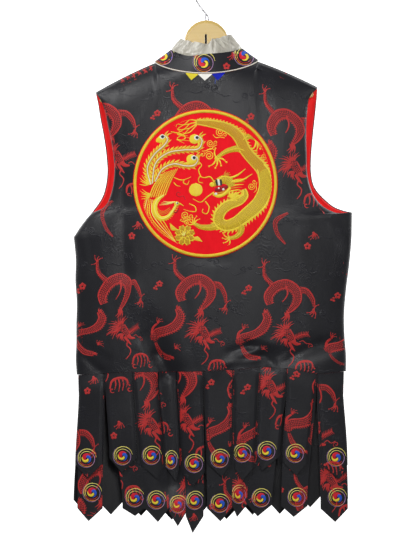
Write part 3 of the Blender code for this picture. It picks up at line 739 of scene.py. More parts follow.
@dataclass(frozen=True)
class Thread:
    """Woven or stitched thread on a ribbon, with its own pattern."""

    name: str
    colour: Colour
    dark: Colour
    pattern: Pattern = Pattern.PLAIN
    pitch: float = 0.7
    roughness: float = 0.5
    gleam: float = 0.0

    def build(self) -> bpy.types.Material:
        """Make the material.

        Returns:
            The material.
        """
        graph = Graph(self.name)
        uv = graph.uv()
        across, along, _ = graph.parts(uv)
        tone = graph.noise(graph.scaled(uv, (0.12, 0.08, 1.0)), 1.0, 2.0)
        if self.pattern is Pattern.SCALES:
            edges = graph.cells(graph.scaled(uv, (1.0 / self.pitch, 1.0 / self.pitch, 1.0)), 1.0, 0.25)
            lines = graph.clamp((edges - 0.1) * 7.0)
        elif self.pattern is Pattern.BARBS:
            slant = along + graph.maths("ABSOLUTE", across) * 0.9
            lines = graph.clamp((graph.wave(slant, self.pitch) - 0.25) * 2.2)
        else:
            lines = graph.wave(along + across * 0.4, self.pitch) * 0.5 + 0.5
        share = graph.clamp(lines * (tone * 0.5 + 0.75))
        graph.set(
            Base_Color=graph.blend(share, self.dark, self.colour),
            Roughness=graph.clamp(self.roughness + (tone - 0.5) * 0.15),
            Normal=graph.bump(lines, 0.5, 0.35),
            Metallic=self.gleam,
            Specular_IOR_Level=0.25,
        )
        return graph.material


@dataclass(frozen=True)
class Cord:
    """Twisted cord, with its turns along the UV map."""

    name: str
    colour: Colour
    dark: Colour
    pitch: float

    def build(self) -> bpy.types.Material:
        """Make the material.

        Returns:
            The material.
        """
        graph = Graph(self.name)
        turn, along, _ = graph.parts(graph.uv())
        twist = graph.wave(along + turn * self.pitch, self.pitch)
        graph.set(
            Base_Color=graph.blend(graph.clamp(twist * 1.3), self.dark, self.colour),
            Roughness=0.6,
            Normal=graph.bump(twist, 0.8, 0.5),
            Sheen_Weight=0.2,
        )
        return graph.material


@dataclass(frozen=True)
class Plywood:
    """Pale wood with its grain along X and the dark lines of its layers on the edges."""

    name: str
    colour: Colour
    grain: Colour

    def build(self) -> bpy.types.Material:
        """Make the material.

        Returns:
            The material.
        """
        graph = Graph(self.name)
        place = graph.place()
        _, depth, _ = graph.parts(place)
        warp = graph.noise(graph.scaled(place, (4.0, 40.0, 40.0)), 1.0, 2.0)
        streaks = graph.noise(graph.scaled(place, (6.0, 260.0, 260.0)), 1.0, 4.0)
        layers = graph.wave(depth, 2.8 * MM)
        share = graph.clamp(streaks * 0.8 + (warp - 0.5) * 0.8 + layers * 0.12 - 0.1)
        graph.set(
            Base_Color=graph.blend(share, self.colour, self.grain),
            Roughness=graph.clamp(streaks * 0.15 + 0.42),
            Normal=graph.bump(streaks, 0.25, 0.3),
            Coat_Weight=0.1,
        )
        return graph.material


@dataclass(frozen=True)
class Plated:
    """Bright plated wire with faint drawing marks."""

    name: str
    colour: Colour

    def build(self) -> bpy.types.Material:
        """Make the material.

        Returns:
            The material.
        """
        graph = Graph(self.name)
        marks = graph.noise(graph.scaled(graph.place(), (300.0, 300.0, 60.0)), 1.0, 3.0)
        dulled = tuple(part * 0.7 for part in self.colour)
        graph.set(
            Base_Color=graph.blend(marks, dulled, self.colour),
            Metallic=1.0,
            Roughness=graph.clamp(marks * 0.15 + 0.12),
            Normal=graph.bump(marks, 0.1, 0.1),
        )
        return graph.material


@dataclass(frozen=True)
class Matte:
    """A plain dull surface with a slight mottling."""

    name: str
    colour: Colour
    spread: float = 0.05

    def build(self) -> bpy.types.Material:
        """Make the material.

        Returns:
            The material.
        """
        graph = Graph(self.name)
        mottling = graph.noise(graph.place(), 3.0, 2.0)
        darker = tuple(part * (1.0 - self.spread) for part in self.colour)
        graph.set(
            Base_Color=graph.blend(mottling, darker, self.colour),
            Roughness=0.8,
            Specular_IOR_Level=0.2,
        )
        return graph.material


@dataclass(frozen=True)
class Glow:
    """A white surface that shines evenly on its front, as an over-lit backdrop does."""

    name: str
    strength: float

    def build(self) -> bpy.types.Material:
        """Make the material.

        Returns:
            The material.
        """
        graph = Graph(self.name)
        mottling = graph.noise(graph.place(), 0.5, 1.0)
        graph.set(
            Base_Color=graph.blend(mottling, (0.8, 0.8, 0.8), (0.82, 0.82, 0.82)),
            Roughness=1.0,
            Specular_IOR_Level=0.0,
            Emission_Color=(1.0, 1.0, 1.0),
            Emission_Strength=self.strength,
        )
        graph.clear_from_behind()
        return graph.material


Finish = Satin | Brocade | Thread | Cord | Plywood | Plated | Matte | Glow

BLACK_BROCADE = Brocade("black_brocade", (0.008, 0.008, 0.010), (0.020, 0.020, 0.025))
# The lining's painted glow lightens the red satin where it lies in shade inside the vest and its armholes.
LINING_SATIN = Satin(
    "red_lining_satin", (0.88, 0.030, 0.030), (0.6, 0.012, 0.014), 0.36, 0.2, 0.55, 0.9, painted_glow=0.22
)
ROUNDEL_SATIN = Satin(
    "red_roundel_satin", (0.88, 0.006, 0.016), (0.72, 0.003, 0.009), 0.5, 0.0, 0.55, 0.3, gloss=0.08
)
IVORY_SATIN = Satin("ivory_collar_satin", (0.72, 0.70, 0.62), (0.30, 0.28, 0.23), 0.30, 0.1, 0.5, 2.6, 0.5)
RED_FIGURE = Thread("red_figure_thread", (0.55, 0.030, 0.028), (0.12, 0.010, 0.012), pitch=1.6)
RED_SCALES = Thread("red_scaled_thread", (0.48, 0.027, 0.026), (0.030, 0.009, 0.011), Pattern.SCALES, 3.5)
GOLD_BRIGHT = Thread(
    "gold_bright_thread", (0.86, 0.68, 0.035), (0.48, 0.28, 0.01), pitch=1.5, roughness=0.4
)
GOLD_BRAID = Thread("gold_braid", (0.78, 0.58, 0.03), (0.42, 0.24, 0.01), pitch=2.0, roughness=0.42)
GOLD_SCALES = Thread(
    "gold_scaled_thread", (0.84, 0.64, 0.02), (0.34, 0.18, 0.004), Pattern.SCALES, 2.3, 0.42
)
GOLD_DEEP = Thread("gold_deep_thread", (0.72, 0.43, 0.006), (0.36, 0.15, 0.003), Pattern.SCALES, 2.3, 0.45)
GOLD_BARBS = Thread("gold_barbed_thread", (0.74, 0.54, 0.02), (0.46, 0.10, 0.01), Pattern.BARBS, 3.0, 0.42)
PALE_GOLD = Thread("pale_gold_thread", (0.88, 0.80, 0.20), (0.60, 0.46, 0.05), pitch=1.3, roughness=0.42)
ORANGE_THREAD = Thread("orange_thread", (0.70, 0.24, 0.01), (0.42, 0.10, 0.006), pitch=1.3)
RED_EDGE = Thread("red_edge_thread", (0.42, 0.006, 0.010), (0.2, 0.003, 0.004), pitch=1.3)
DEEP_RED_THREAD = Thread("deep_red_thread", (0.30, 0.004, 0.006), (0.14, 0.002, 0.003), pitch=1.3)
WHITE_THREAD = Thread("white_thread", (0.80, 0.79, 0.72), (0.50, 0.48, 0.40), pitch=1.2)
BLACK_THREAD = Thread(
    "black_thread", (0.016, 0.016, 0.021), (0.007, 0.007, 0.009), pitch=1.4, roughness=0.34
)
RED_THREAD = Thread("red_thread", (0.70, 0.010, 0.030), (0.30, 0.004, 0.014), pitch=1.2)
BLUE_THREAD = Thread("blue_thread", (0.020, 0.10, 0.62), (0.010, 0.04, 0.26), pitch=1.2)
YELLOW_THREAD = Thread("yellow_thread", (0.86, 0.66, 0.04), (0.50, 0.34, 0.02), pitch=1.2)
VIOLET_THREAD = Thread("violet_thread", (0.42, 0.24, 0.46), (0.20, 0.10, 0.22), pitch=1.2)
PIPING_CORD = Cord("ivory_piping_cord", (0.90, 0.86, 0.76), (0.56, 0.52, 0.43), 2.6)
YELLOW_FLAG = Satin("yellow_flag_satin", (0.80, 0.66, 0.004), (0.6, 0.48, 0.004), 0.45, 0.0)
WHITE_FLAG = Satin("white_flag_satin", (0.92, 0.90, 0.84), (0.76, 0.74, 0.68), 0.45, 0.1)
BLUE_FLAG = Satin("blue_flag_satin", (0.002, 0.014, 0.50), (0.002, 0.008, 0.34), 0.45, 0.0, gloss=0.1)
LIGHT_PLYWOOD = Plywood("light_plywood", (0.56, 0.395, 0.115), (0.46, 0.31, 0.08))
BRIGHT_WIRE = Plated("bright_wire", (0.30, 0.30, 0.31))
# A dark block that stands for the shade inside the hanger's slot: painted shade.
SLOT_SHADE_BLOCK = Matte("dark_felt", (0.012, 0.011, 0.010), 0.4)
BACKDROP_PAPER = Glow("backdrop_paper", 1.0)


class Wardrobe:
    """Makes each finish once, and turns meshes in millimetres into dressed pieces."""

    def __init__(self) -> None:
        """Start with no finish made."""
        self.made: dict[str, bpy.types.Material] = {}

    def finish(self, finish: Finish) -> bpy.types.Material:
        """The material of a finish.

        Args:
            finish: Its thread.

        Returns:
            The material.
        """
        if finish.name not in self.made:
            self.made[finish.name] = finish.build()
        return self.made[finish.name]

    def dress(
        self,
        name: str,
        mesh: bpy.types.Mesh,
        finishes: Sequence[Finish],
        stands_for: Sequence[str] = (),
        sharp: float = 50.0,
    ) -> bpy.types.Object:
        """Turn a mesh in millimetres into a piece of the vest.

        Args:
            name: The piece's name.
            mesh: Its shape.
            finishes: Its finishes, in the order of the faces' material numbers.
            stands_for: CAD nodes that it replaces.
            sharp: Angle in degrees from which an edge is sharp.

        Returns:
            The piece.
        """
        places = places_of(mesh)
        set_places(mesh, places * MM)
        mesh.shade_smooth()
        mesh.set_sharp_from_angle(angle=math.radians(sharp))
        for finish in finishes:
            mesh.materials.append(self.finish(finish))
        piece = bpy.data.objects.new(name, mesh)
        bpy.context.scene.collection.objects.link(piece)
        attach(piece, BODY)
        if stands_for:
            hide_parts(*stands_for)
        LOG.info("%s: %d faces", name, len(mesh.polygons))
        return piece


def places_of(mesh: bpy.types.Mesh) -> Array:
    """Every vertex's place, one row each.

    Args:
        mesh: The mesh to change.

    Returns:
        The places.
    """
    places = np.empty(len(mesh.vertices) * 3)
    mesh.vertices.foreach_get("co", places)
    return places.reshape(-1, 3)


def set_places(mesh: bpy.types.Mesh, places: Array) -> None:
    """Move every vertex."""
    mesh.vertices.foreach_set("co", np.ascontiguousarray(places, dtype=float).ravel())
    mesh.update()


def mesh_from(name: str, bm: bmesh.types.BMesh) -> bpy.types.Mesh:
    """Turn a bmesh into a mesh and free it.

    Args:
        name: Its name.
        bm: The bmesh to change.

    Returns:
        The mesh.
    """
    mesh = bpy.data.meshes.new(name)
    bm.to_mesh(mesh)
    bm.free()
    return mesh


def wall_mesh(name: str, cells: tuple[int, int], place: Place, span: tuple[float, float]) -> bpy.types.Mesh:
    """A closed wall of cloth, bent from a flat slab.

    Args:
        name: The mesh's name.
        cells: How many cells it has across and up.
        place: Gives places for shares across, up and through the wall, 0 inside and 1 outside.
        span: Width and length in millimetres, for the UV map.

    Returns:
        The mesh, whose inner faces have material number 1.
    """
    bm = bmesh.new()
    bmesh.ops.create_grid(bm, x_segments=cells[0], y_segments=cells[1], size=0.5)
    bmesh.ops.translate(bm, vec=(0.5, 0.5, 0.0), verts=bm.verts)
    raised = bmesh.ops.extrude_face_region(bm, geom=bm.faces[:], use_keep_orig=True)
    lifted = [part for part in raised["geom"] if isinstance(part, bmesh.types.BMVert)]
    bmesh.ops.translate(bm, vec=(0.0, 0.0, 1.0), verts=lifted)
    bmesh.ops.recalc_face_normals(bm, faces=bm.faces)
    weave = bm.loops.layers.uv.new("weave")
    for face in bm.faces:
        face.material_index = 1 if face.normal.z < -0.5 else 0
        for loop in face.loops:
            loop[weave].uv = (loop.vert.co.x * span[0], loop.vert.co.y * span[1])
    mesh = mesh_from(name, bm)
    across, up, through = places_of(mesh).T
    set_places(mesh, place(across, up, through))
    return mesh


# Form of the cloth


@dataclass(frozen=True)
class Panel:
    """A face of the vest's body, worked out from its sections, its folds and its creases."""

    side: Side
    sections: tuple[Section, ...]
    neck_depth: float
    neck_drop: float
    split: float
    folds: tuple[Fold, ...]
    creases: tuple[Fold, ...]
    phase: float

    def section_at(self, row: Array) -> Array:
        """The section at each row, rounded between the rows but not at its corners.

        Args:
            row: Rows of the sections.

        Returns:
            The sections' values, one row for each measure.
        """
        table = np.array([list(vars(section).values()) for section in self.sections])
        steps = 8
        corners = (0, UNDERARM_ROW, SHOULDER_ROLL_ROW, TOP_ROW)
        rounded = [curve_through(table[a : b + 1], steps)[:-1] for a, b in zip(corners, corners[1:])]
        dense = np.vstack([*rounded, table[-1:]])
        rows = np.linspace(0.0, TOP_ROW, len(dense))
        return np.array([np.interp(row, rows, column) for column in dense.T])

    def crown(self, f: Array) -> Array:
        """Height of the top edge above the line between the shoulder tips.

        Args:
            f: Shares of the half width from -1 to 1.

        Returns:
            The heights.
        """
        x = f * SHOULDER_HALF
        share = (f + 1.0) / 2.0
        tips = mix(*SHOULDER_TIP_Z, share)
        return np.where(np.abs(x) < NECK_HALF, neck_line_z(x, self.neck_drop), shoulder_z(x)) - tips

    def sink(self, x: Array, z: Array) -> Array:
        """How deep the cloth lies below its smooth form: main folds, creases and a slight unevenness.

        Args:
            x: The x of each place.
            z: The z of each place.

        Returns:
            The depths.
        """
        deepest = np.zeros_like(x)
        for fold in self.folds:
            deepest = np.maximum(deepest, fold_depth(fold, x, z))
        for crease in self.creases:
            deepest = deepest + fold_depth(crease, x, z)
        uneven = np.sin(x / 37.0 + z / 91.0 + self.phase) * 0.6
        uneven += np.sin(x / 21.0 - z / 130.0 + 2.0 * self.phase) * 0.4
        uneven += np.sin(z / 47.0 + x / 160.0) * 0.3
        return deepest + uneven

    def face(self, t: Array, row: Array) -> Array:
        """Outer face for places across from -1 to 1 and rows of the sections.

        Args:
            t: Shares across from -1 to 1.
            row: Rows of the sections.

        Returns:
            The places.
        """
        left_x, left_z, right_x, right_z, edge_y, depth, neck, rise = self.section_at(row)
        f = mix(even_columns(t), neck_columns(t), rise)
        middle = (left_x + right_x) / 2.0
        half = (right_x - left_x) / 2.0
        from_middle = np.sign(t) * self.split + f * (half - self.split)
        z = mix(left_z, right_z, (f + 1.0) / 2.0) + rise * self.crown(f)
        z = z + stepped(HIP_WAVE, f) * smooth(1.0 - row / 2.0)
        x = middle + from_middle
        shape = plan_shape(from_middle, half, neck)
        y = edge_y + (mix(depth, self.neck_depth, neck) - edge_y) * shape
        calm = smooth((1.0 - np.abs(f)) * 8.0) * smooth((TOP_ROW - row) / 2.5)
        y = y - self.sink(x, z) * calm
        return np.stack([x, self.side.value * y, z], axis=-1)

    def point(self, t: Array, row: Array, out: Array) -> Array:
        """Places at a distance from the outer face, with the seams' edges kept flat.

        Args:
            t: Shares across from -1 to 1.
            row: Rows of the sections.
            out: Distances from the outer face.

        Returns:
            The places.
        """
        step = 0.01
        low, high = np.maximum(-1.0, t - step), np.minimum(1.0, t + step)
        if self.split:
            low = np.where((t > 0.0) & (low < 1e-6), 1e-6, low)
            high = np.where((t < 0.0) & (high > -1e-6), -1e-6, high)
        across = self.face(high, row) - self.face(low, row)
        up = self.face(t, np.minimum(TOP_ROW, row + step)) - self.face(t, np.maximum(0.0, row - step))
        normal = np.cross(across, up) * -self.side.value
        on_side = (np.abs(t) > 0.999) & (row < UNDERARM_ROW + 0.001)
        on_top = row > TOP_ROW - 0.001
        normal[on_side | (on_top & (np.abs(t) >= NECK_SHARE - 0.001)), 1] = 0.0
        normal[on_top & (np.abs(t) <= NECK_SHARE + 0.001), 2] = 0.0
        if self.split:
            normal[np.abs(t) < step, 0] = 0.0
        return self.face(t, row) + unit(normal) * np.asarray(out)[..., None]

    def hang_face(self, x: Array, z: Array) -> Array:
        """The sheet that the strips hang in, which carries on from the hip.

        Args:
            x: The x of each place.
            z: The z of each place.

        Returns:
            The places.
        """
        hip = self.sections[0]
        fall = np.clip((hip_z(x) - z) / (hip_z(x) - FOOT_Z), 0.0, 1.0)
        middle = (hip.left_x + hip.right_x) / 2.0
        half = mix((hip.right_x - hip.left_x) / 2.0, HANG_HALF, fall)
        depth = mix(hip.depth, HANG_DEPTH, fall)
        edge = mix(hip.edge_y, HANG_EDGE, smooth(fall * 8.0))
        shape = plan_shape(x - middle, half, 0.0)
        across = np.minimum(1.0, np.abs(x - middle) / half)
        sink = self.sink(x, z) * smooth((1.0 - across) * 8.0)
        return np.stack([x, self.side.value * (edge + (depth - edge) * shape - sink), z], axis=-1)

    def hang_point(self, x: Array, z: Array, out: Array) -> Array:
        """Places at a distance from the strips' sheet.

        Args:
            x: The x of each place.
            z: The z of each place.
            out: Distances from the outer face.

        Returns:
            The places.
        """
        across = self.hang_face(x + 1.0, z) - self.hang_face(x - 1.0, z)
        up = self.hang_face(x, z + 1.0) - self.hang_face(x, z - 1.0)
        normal = unit(np.cross(across, up) * -self.side.value)
        return self.hang_face(x, z) + normal * np.asarray(out)[..., None]


def even_columns(t: Array) -> Array:
    """Places across a panel, a little closer together at its edges."""
    return (1.0 + EDGE_PULL) * t - EDGE_PULL * t**3


def neck_columns(t: Array) -> Array:
    """Places across the top edge: equal turns of the neck, then equal steps of the shoulder.

    Args:
        t: Shares across from -1 to 1.

    Returns:
        The spaced shares.
    """
    share = np.abs(t)
    neck_end = NECK_HALF / SHOULDER_HALF
    inside = neck_end * np.sin(np.minimum(1.0, share / NECK_SHARE) * math.pi / 2.0)
    outside = mix(neck_end, 1.0, (share - NECK_SHARE) / (1.0 - NECK_SHARE))
    return np.sign(t) * np.where(share <= NECK_SHARE, inside, outside)


def shoulder_z(x: Array) -> Array:
    """Height of the shoulder seam, with its slight bow.

    Args:
        x: The x of each place.

    Returns:
        The heights.
    """
    right = x > 0.0
    share = (np.abs(x) - NECK_HALF) / (SHOULDER_HALF - NECK_HALF)
    neck = np.where(right, NECK_POINT_Z[1], NECK_POINT_Z[0])
    tip = np.where(right, SHOULDER_TIP_Z[1], SHOULDER_TIP_Z[0])
    return mix(neck, tip, share) + SHOULDER_BOW * 4.0 * share * (1.0 - share)


def neck_line_z(x: Array, drop: float) -> Array:
    """Height of the neck edge.

    Args:
        x: The x of each place.
        drop: How far the line dips.

    Returns:
        The heights.
    """
    share = x / NECK_HALF
    middle = mix(*NECK_POINT_Z, (share + 1.0) / 2.0)
    return middle - drop * np.maximum(0.0, 1.0 - share**2) ** NECK_DIP


def plan_shape(x: Array, half: Array, neck: Array) -> Array:
    """Share of the full depth at x, between the body's oval and the neck's.

    Args:
        x: The x of each place.
        half: Half the width.
        neck: Share of the neck's form.

    Returns:
        Shares of the depth.
    """
    body = (1.0 - np.minimum(1.0, np.abs(x) / half) ** BODY_SQUARENESS) ** BODY_POINTING
    oval = (1.0 - np.minimum(1.0, np.abs(x) / NECK_HALF) ** 2.0) ** NECK_POINTING
    return mix(body, oval, neck)


def fold_depth(fold: Fold, x: Array, z: Array) -> Array:
    """How deep one fold is at a place, with soft ends.

    Args:
        fold: The fold or crease.
        x: The x of each place.
        z: The z of each place.

    Returns:
        The depths.
    """
    run_x, run_z = fold.x2 - fold.x1, fold.z2 - fold.z1
    length = run_x**2 + run_z**2
    share = np.clip(((x - fold.x1) * run_x + (z - fold.z1) * run_z) / length, 0.0, 1.0)
    away = np.hypot(x - fold.x1 - run_x * share, z - fold.z1 - run_z * share)
    return mix(fold.depth1, fold.depth2, share) * np.exp(-((away / fold.width) ** 2))


def hip_z(x: Array) -> Array:
    """Height of the hip seam.

    Args:
        x: The x of each place.

    Returns:
        The heights.
    """
    hip = SIDES[0]
    share = np.clip((x - hip.left_x) / (hip.right_x - hip.left_x), 0.0, 1.0)
    return mix(hip.left_z, hip.right_z, share) + stepped(HIP_WAVE, 2.0 * share - 1.0)


BACK = Panel(
    Side.BACK, SIDES + BACK_ARMHOLES, BACK_NECK_DEPTH, BACK_NECK_DROP, 0.0, BACK_FOLDS, BACK_CREASES, 0.0
)
FRONT = Panel(
    Side.FRONT,
    SIDES + FRONT_ARMHOLES,
    FRONT_NECK_DEPTH,
    FRONT_NECK_DROP,
    FRONT_SPLIT,
    FRONT_FOLDS,
    FRONT_CREASES,
    1.3,
)


class Ground:
    """The outer face of a finished piece, on which other pieces are laid."""

    def __init__(self, mesh: bpy.types.Mesh, side: Side) -> None:
        """Keep the outer faces of a mesh in millimetres.

        Args:
            mesh: The piece's mesh.
            side: The side that it is seen from.
        """
        faces = [tuple(face.vertices) for face in mesh.polygons if face.material_index == 0]
        self.tree = BVHTree.FromPolygons([Vector(place) for place in places_of(mesh)], faces)
        self.side = side

    def lay(self, places: Array) -> tuple[Array, Array]:
        """Lay flat places on the cloth.

        Args:
            places: Rows of x, height above the cloth, and z.

        Returns:
            The places on the cloth, and for each whether the cloth is under it.
        """
        laid = np.empty_like(places)
        under = np.zeros(len(places), dtype=bool)
        far = 400.0 * self.side.value
        towards = Vector((0.0, -self.side.value, 0.0))
        for index, (x, height, z) in enumerate(places):
            hit, normal, _, _ = self.tree.ray_cast(Vector((x, far, z)), towards)
            under[index] = hit is not None
            if hit is None:
                hit, normal, _, _ = self.tree.find_nearest(Vector((x, 40.0 * self.side.value, z)))
            if normal.y * self.side.value < 0.0:
                normal = -normal
            laid[index] = hit + normal * height
        return laid, under


# Motifs of thread


class Needlework:
    """Ribbons of thread drawn flat, as x, height above the cloth and z, and laid on cloth when done."""

    def __init__(self, step: float = 3.0, cells: int = 4) -> None:
        """Start with no ribbon.

        Args:
            step: Length of a ribbon's cells in millimetres.
            cells: How many cells a ribbon has across.
        """
        self.step = step
        self.cells = cells
        self.bm = bmesh.new()
        self.weave = self.bm.loops.layers.uv.new("weave")
        self.finishes: list[Finish] = []

    def number(self, finish: Finish) -> int:
        """The material number of a finish.

        Args:
            finish: Its thread.

        Returns:
            The number.
        """
        if finish not in self.finishes:
            self.finishes.append(finish)
        return self.finishes.index(finish)

    def ribbon(self, line: Array, widths: Array, finish: Finish, height: float, lift: float) -> None:
        """Add one crowned ribbon, whose edges press into the cloth.

        Args:
            line: Places along its middle.
            widths: Its width at each place.
            finish: Its thread.
            height: How high its middle stands.
            lift: How far its edges stand above the cloth.
        """
        last = len(line) - 1
        ahead = unit(np.gradient(line, axis=0))
        beside = np.stack([ahead[:, 1], -ahead[:, 0]], axis=-1)
        lengths = np.concatenate([[0.0], np.cumsum(np.linalg.norm(np.diff(line, axis=0), axis=1))])
        made = bmesh.ops.create_grid(self.bm, x_segments=self.cells, y_segments=last, size=0.5)
        number = self.number(finish)
        for vert in made["verts"]:
            across = vert.co.x * 2.0
            index = round((vert.co.y + 0.5) * last)
            offset = across * widths[index] / 2.0
            place = line[index] + beside[index] * offset
            taper = min(1.0, 2.0 * min(index, last - index) / last + 0.3)
            crown = height * (1.0 - across * across) * taper
            vert.co = (place[0], lift + crown, place[1])
            for loop in vert.link_loops:
                loop[self.weave].uv = (offset, lengths[index])
        for face in {face for vert in made["verts"] for face in vert.link_faces}:
            face.material_index = number

    def mesh(self, name: str) -> bpy.types.Mesh:
        """The finished ribbons."""
        return mesh_from(name, self.bm)


@dataclass(frozen=True)
class Pen:
    """Draws on a needlework from its own origin, turned, sized and perhaps mirrored."""

    work: Needlework
    x: float = 0.0
    z: float = 0.0
    turn: float = 0.0
    size: float = 1.0
    flip: float = 1.0

    def at(self, x: float, z: float, turn: float = 0.0, size: float = 1.0, flip: float = 1.0) -> "Pen":
        """A pen with its origin at a place of this one."""
        (place,) = self.moved([(x, z)])
        return Pen(self.work, *place, self.turn + turn * self.flip, self.size * size, self.flip * flip)

    def moved(self, points: Sequence[Sequence[float]]) -> Array:
        """The places of points that are given from the pen's origin.

        Args:
            points: Flat places.

        Returns:
            The moved points.
        """
        flat = np.array(points, dtype=float) * self.size
        flat[:, 0] *= self.flip
        angle = math.radians(self.turn)
        turned = np.array([[math.cos(angle), math.sin(angle)], [-math.sin(angle), math.cos(angle)]])
        return flat @ turned + np.array([self.x, self.z])

    def stroke(
        self,
        points: Sequence[Sequence[float]],
        widths: Sequence[float],
        finish: Finish,
        height: float = 0.3,
        lift: float = 0.0,
        shift: float = 0.0,
    ) -> None:
        """Draw a ribbon on a smooth curve.

        Args:
            points: Places that the curve passes.
            widths: Its widths, spread evenly along it.
            finish: Its thread.
            height: How high its middle stands.
            lift: How far its edges stand above the cloth.
            shift: How far it runs beside the curve, to the right of its direction.
        """
        knots = self.moved(points)
        length = float(np.sum(np.linalg.norm(np.diff(knots, axis=0), axis=1)))
        steps = max(2, round(length / self.work.step / (len(points) - 1)))
        line = curve_through(knots, steps)
        if shift:
            ahead = unit(np.gradient(line, axis=0))
            line = line + np.stack([ahead[:, 1], -ahead[:, 0]], axis=-1) * shift * self.size * self.flip
        along = np.linspace(0.0, len(widths) - 1.0, len(line))
        spread = np.interp(along, range(len(widths)), widths) * self.size
        self.work.ribbon(line, spread, finish, height, lift)

    def dot(
        self, x: float, z: float, radius: float, finish: Finish, height: float = 0.4, lift: float = 0.0
    ) -> None:
        """Draw a round spot.

        Args:
            x: Its x.
            z: Its z.
            radius: Its radius.
            finish: Its thread.
            height: How high it stands.
            lift: How far it is raised.
        """
        widths = [radius * math.sqrt(step * (16 - step)) / 4.0 + 0.02 for step in range(17)]
        points = [(x, z - radius), (x, z), (x, z + radius)]
        self.stroke(points, widths, finish, height, lift)

    def fan(
        self,
        x: float,
        z: float,
        angles: Sequence[float],
        length: float,
        width: float,
        finish: Finish,
        bend: float = 0.2,
        height: float = 0.3,
        lift: float = 0.0,
    ) -> None:
        """Draw pointed strokes that spread from a place.

        Args:
            x: The place.
            z: The place.
            angles: Directions of the strokes, in degrees from +X.
            length: Length of each stroke.
            width: Width at its root.
            finish: Its thread.
            bend: How far it bends to its left, as a share of its length.
            height: How high its middle stands.
            lift: How far its edges stand above the cloth.
        """
        for number, degrees in enumerate(angles):
            angle = math.radians(degrees)
            reach = length * (1.0 + 0.12 * math.sin(number * 2.1))
            run = np.array([math.cos(angle), math.sin(angle)]) * reach
            side = np.array([-run[1], run[0]]) * bend
            root = np.array([x, z])
            points = [root, root + run * 0.5 + side, root + run]
            self.stroke(points, (width, width, 0.2 * width), finish, height, lift)

    def spiral(
        self,
        x: float,
        z: float,
        radius: float,
        turns: float,
        width: float,
        finish: Finish,
        start: float = 0.0,
    ) -> None:
        """Draw a curl that winds outwards from a place.

        Args:
            x: Its x.
            z: Its z.
            radius: Its radius.
            turns: How often it turns.
            width: Its width.
            finish: Its thread.
            start: The direction in which it begins, in degrees.
        """
        steps = max(4, round(turns * 7))
        points = []
        for step in range(steps + 1):
            share = step / steps
            angle = math.radians(start) + share * turns * 2.0 * math.pi
            reach = radius * (0.15 + 0.85 * share)
            points.append((x + reach * math.cos(angle), z + reach * math.sin(angle)))
        self.stroke(points, (width, width, width * 0.6), finish)

    def barbs(
        self,
        points: Sequence[Sequence[float]],
        gap: float,
        length: float,
        width: float,
        finish: Finish,
        side: float = 1.0,
        lean: float = 40.0,
        shift: float = 0.0,
    ) -> None:
        """Draw short pointed strokes along one side of a curve, as spines or the barbs of a feather.

        Args:
            points: Places that the curve passes.
            gap: Distance from one barb to the next.
            length: Length of a barb.
            width: Width at its root.
            finish: Its thread.
            side: 1 for the right of the curve's direction and -1 for its left.
            lean: Angle in degrees that the barbs lean back.
            shift: Distance of their roots from the curve.
        """
        line = curve_through(points, 12)
        lengths = np.concatenate([[0.0], np.cumsum(np.linalg.norm(np.diff(line, axis=0), axis=1))])
        ahead = unit(np.gradient(line, axis=0))
        for at in np.arange(gap / 2.0, lengths[-1], gap):
            place = np.array([np.interp(at, lengths, line[:, axis]) for axis in (0, 1)])
            run = np.array([np.interp(at, lengths, ahead[:, axis]) for axis in (0, 1)])
            out = np.array([run[1], -run[0]]) * side
            angle = math.radians(lean)
            aim = out * math.cos(angle) - run * math.sin(angle)
            root = place + out * shift
            tip = root + aim * length
            self.stroke([root, (root + tip) / 2.0, tip], (width, width * 0.8, 0.3), finish)


def claw(pen: Pen, x: float, z: float, angles: Sequence[float], reach: float, finish: Finish) -> None:
    """A foot of curved claws on a small palm.

    Args:
        pen: What it is drawn with.
        x: Its x.
        z: Its z.
        angles: The directions of its fingers in degrees.
        reach: Length of its fingers.
        finish: Its thread.
    """
    pen.dot(x, z, reach * 0.2, finish)
    pen.fan(x, z, angles, reach, reach * 0.15, finish, 0.15, 0.35, 0.05)
    for number, degrees in enumerate(angles):
        angle = math.radians(degrees)
        tip = reach * (0.98 + 0.12 * math.sin(number * 2.1))
        pen.dot(x + tip * math.cos(angle), z + tip * math.sin(angle), reach * 0.09, finish)


def plum(pen: Pen, x: float, z: float, radius: float, finish: Finish, eye: Finish) -> None:
    """A five-petalled blossom with a dark middle.

    Args:
        pen: What it is drawn with.
        x: Its x.
        z: Its z.
        radius: Its radius.
        finish: Its thread.
        eye: The thread of its middle.
    """
    for step in range(5):
        angle = math.radians(90.0 + 72.0 * step)
        reach = radius * 0.62
        pen.dot(x + reach * math.cos(angle), z + reach * math.sin(angle), radius * 0.42, finish)
    pen.dot(x, z, radius * 0.2, eye, 0.3, 0.3)


def scaled_body(
    pen: Pen,
    points: Sequence[Sequence[float]],
    widths: Sequence[float],
    back: float,
    finishes: "BodyThreads",
) -> None:
    """A scaled body with a firm line along both sides and spines on its back.

    Args:
        pen: What it is drawn with.
        points: Places along its middle.
        widths: Its widths, spread evenly along it.
        back: 1 where its back is on the right of its direction, and -1 where it is on the left.
        finishes: The threads of its scales and of its lines.
    """
    pen.stroke(points, widths, finishes.scales, finishes.height)
    line = curve_through(points, 6)
    along = np.linspace(0.0, len(widths) - 1.0, len(line))
    half = np.interp(along, range(len(widths)), widths) / 2.0
    ahead = unit(np.gradient(line, axis=0))
    beside = np.stack([ahead[:, 1], -ahead[:, 0]], axis=-1)
    strong = max(widths) * 0.14
    spines = back * finishes.spines
    for side, width in ((back, strong), (-back, strong * 0.6)):
        edge = line + beside * (side * (half - width / 2.0))[:, None]
        pen.stroke(edge[::3], (width, width), finishes.line, 0.3, finishes.height * 0.3)
    outer = line + beside * (spines * half)[:, None]
    pen.barbs(outer[::3], strong * 1.8, strong * 1.5, strong * 0.8, finishes.line, spines, 35.0, -0.4)


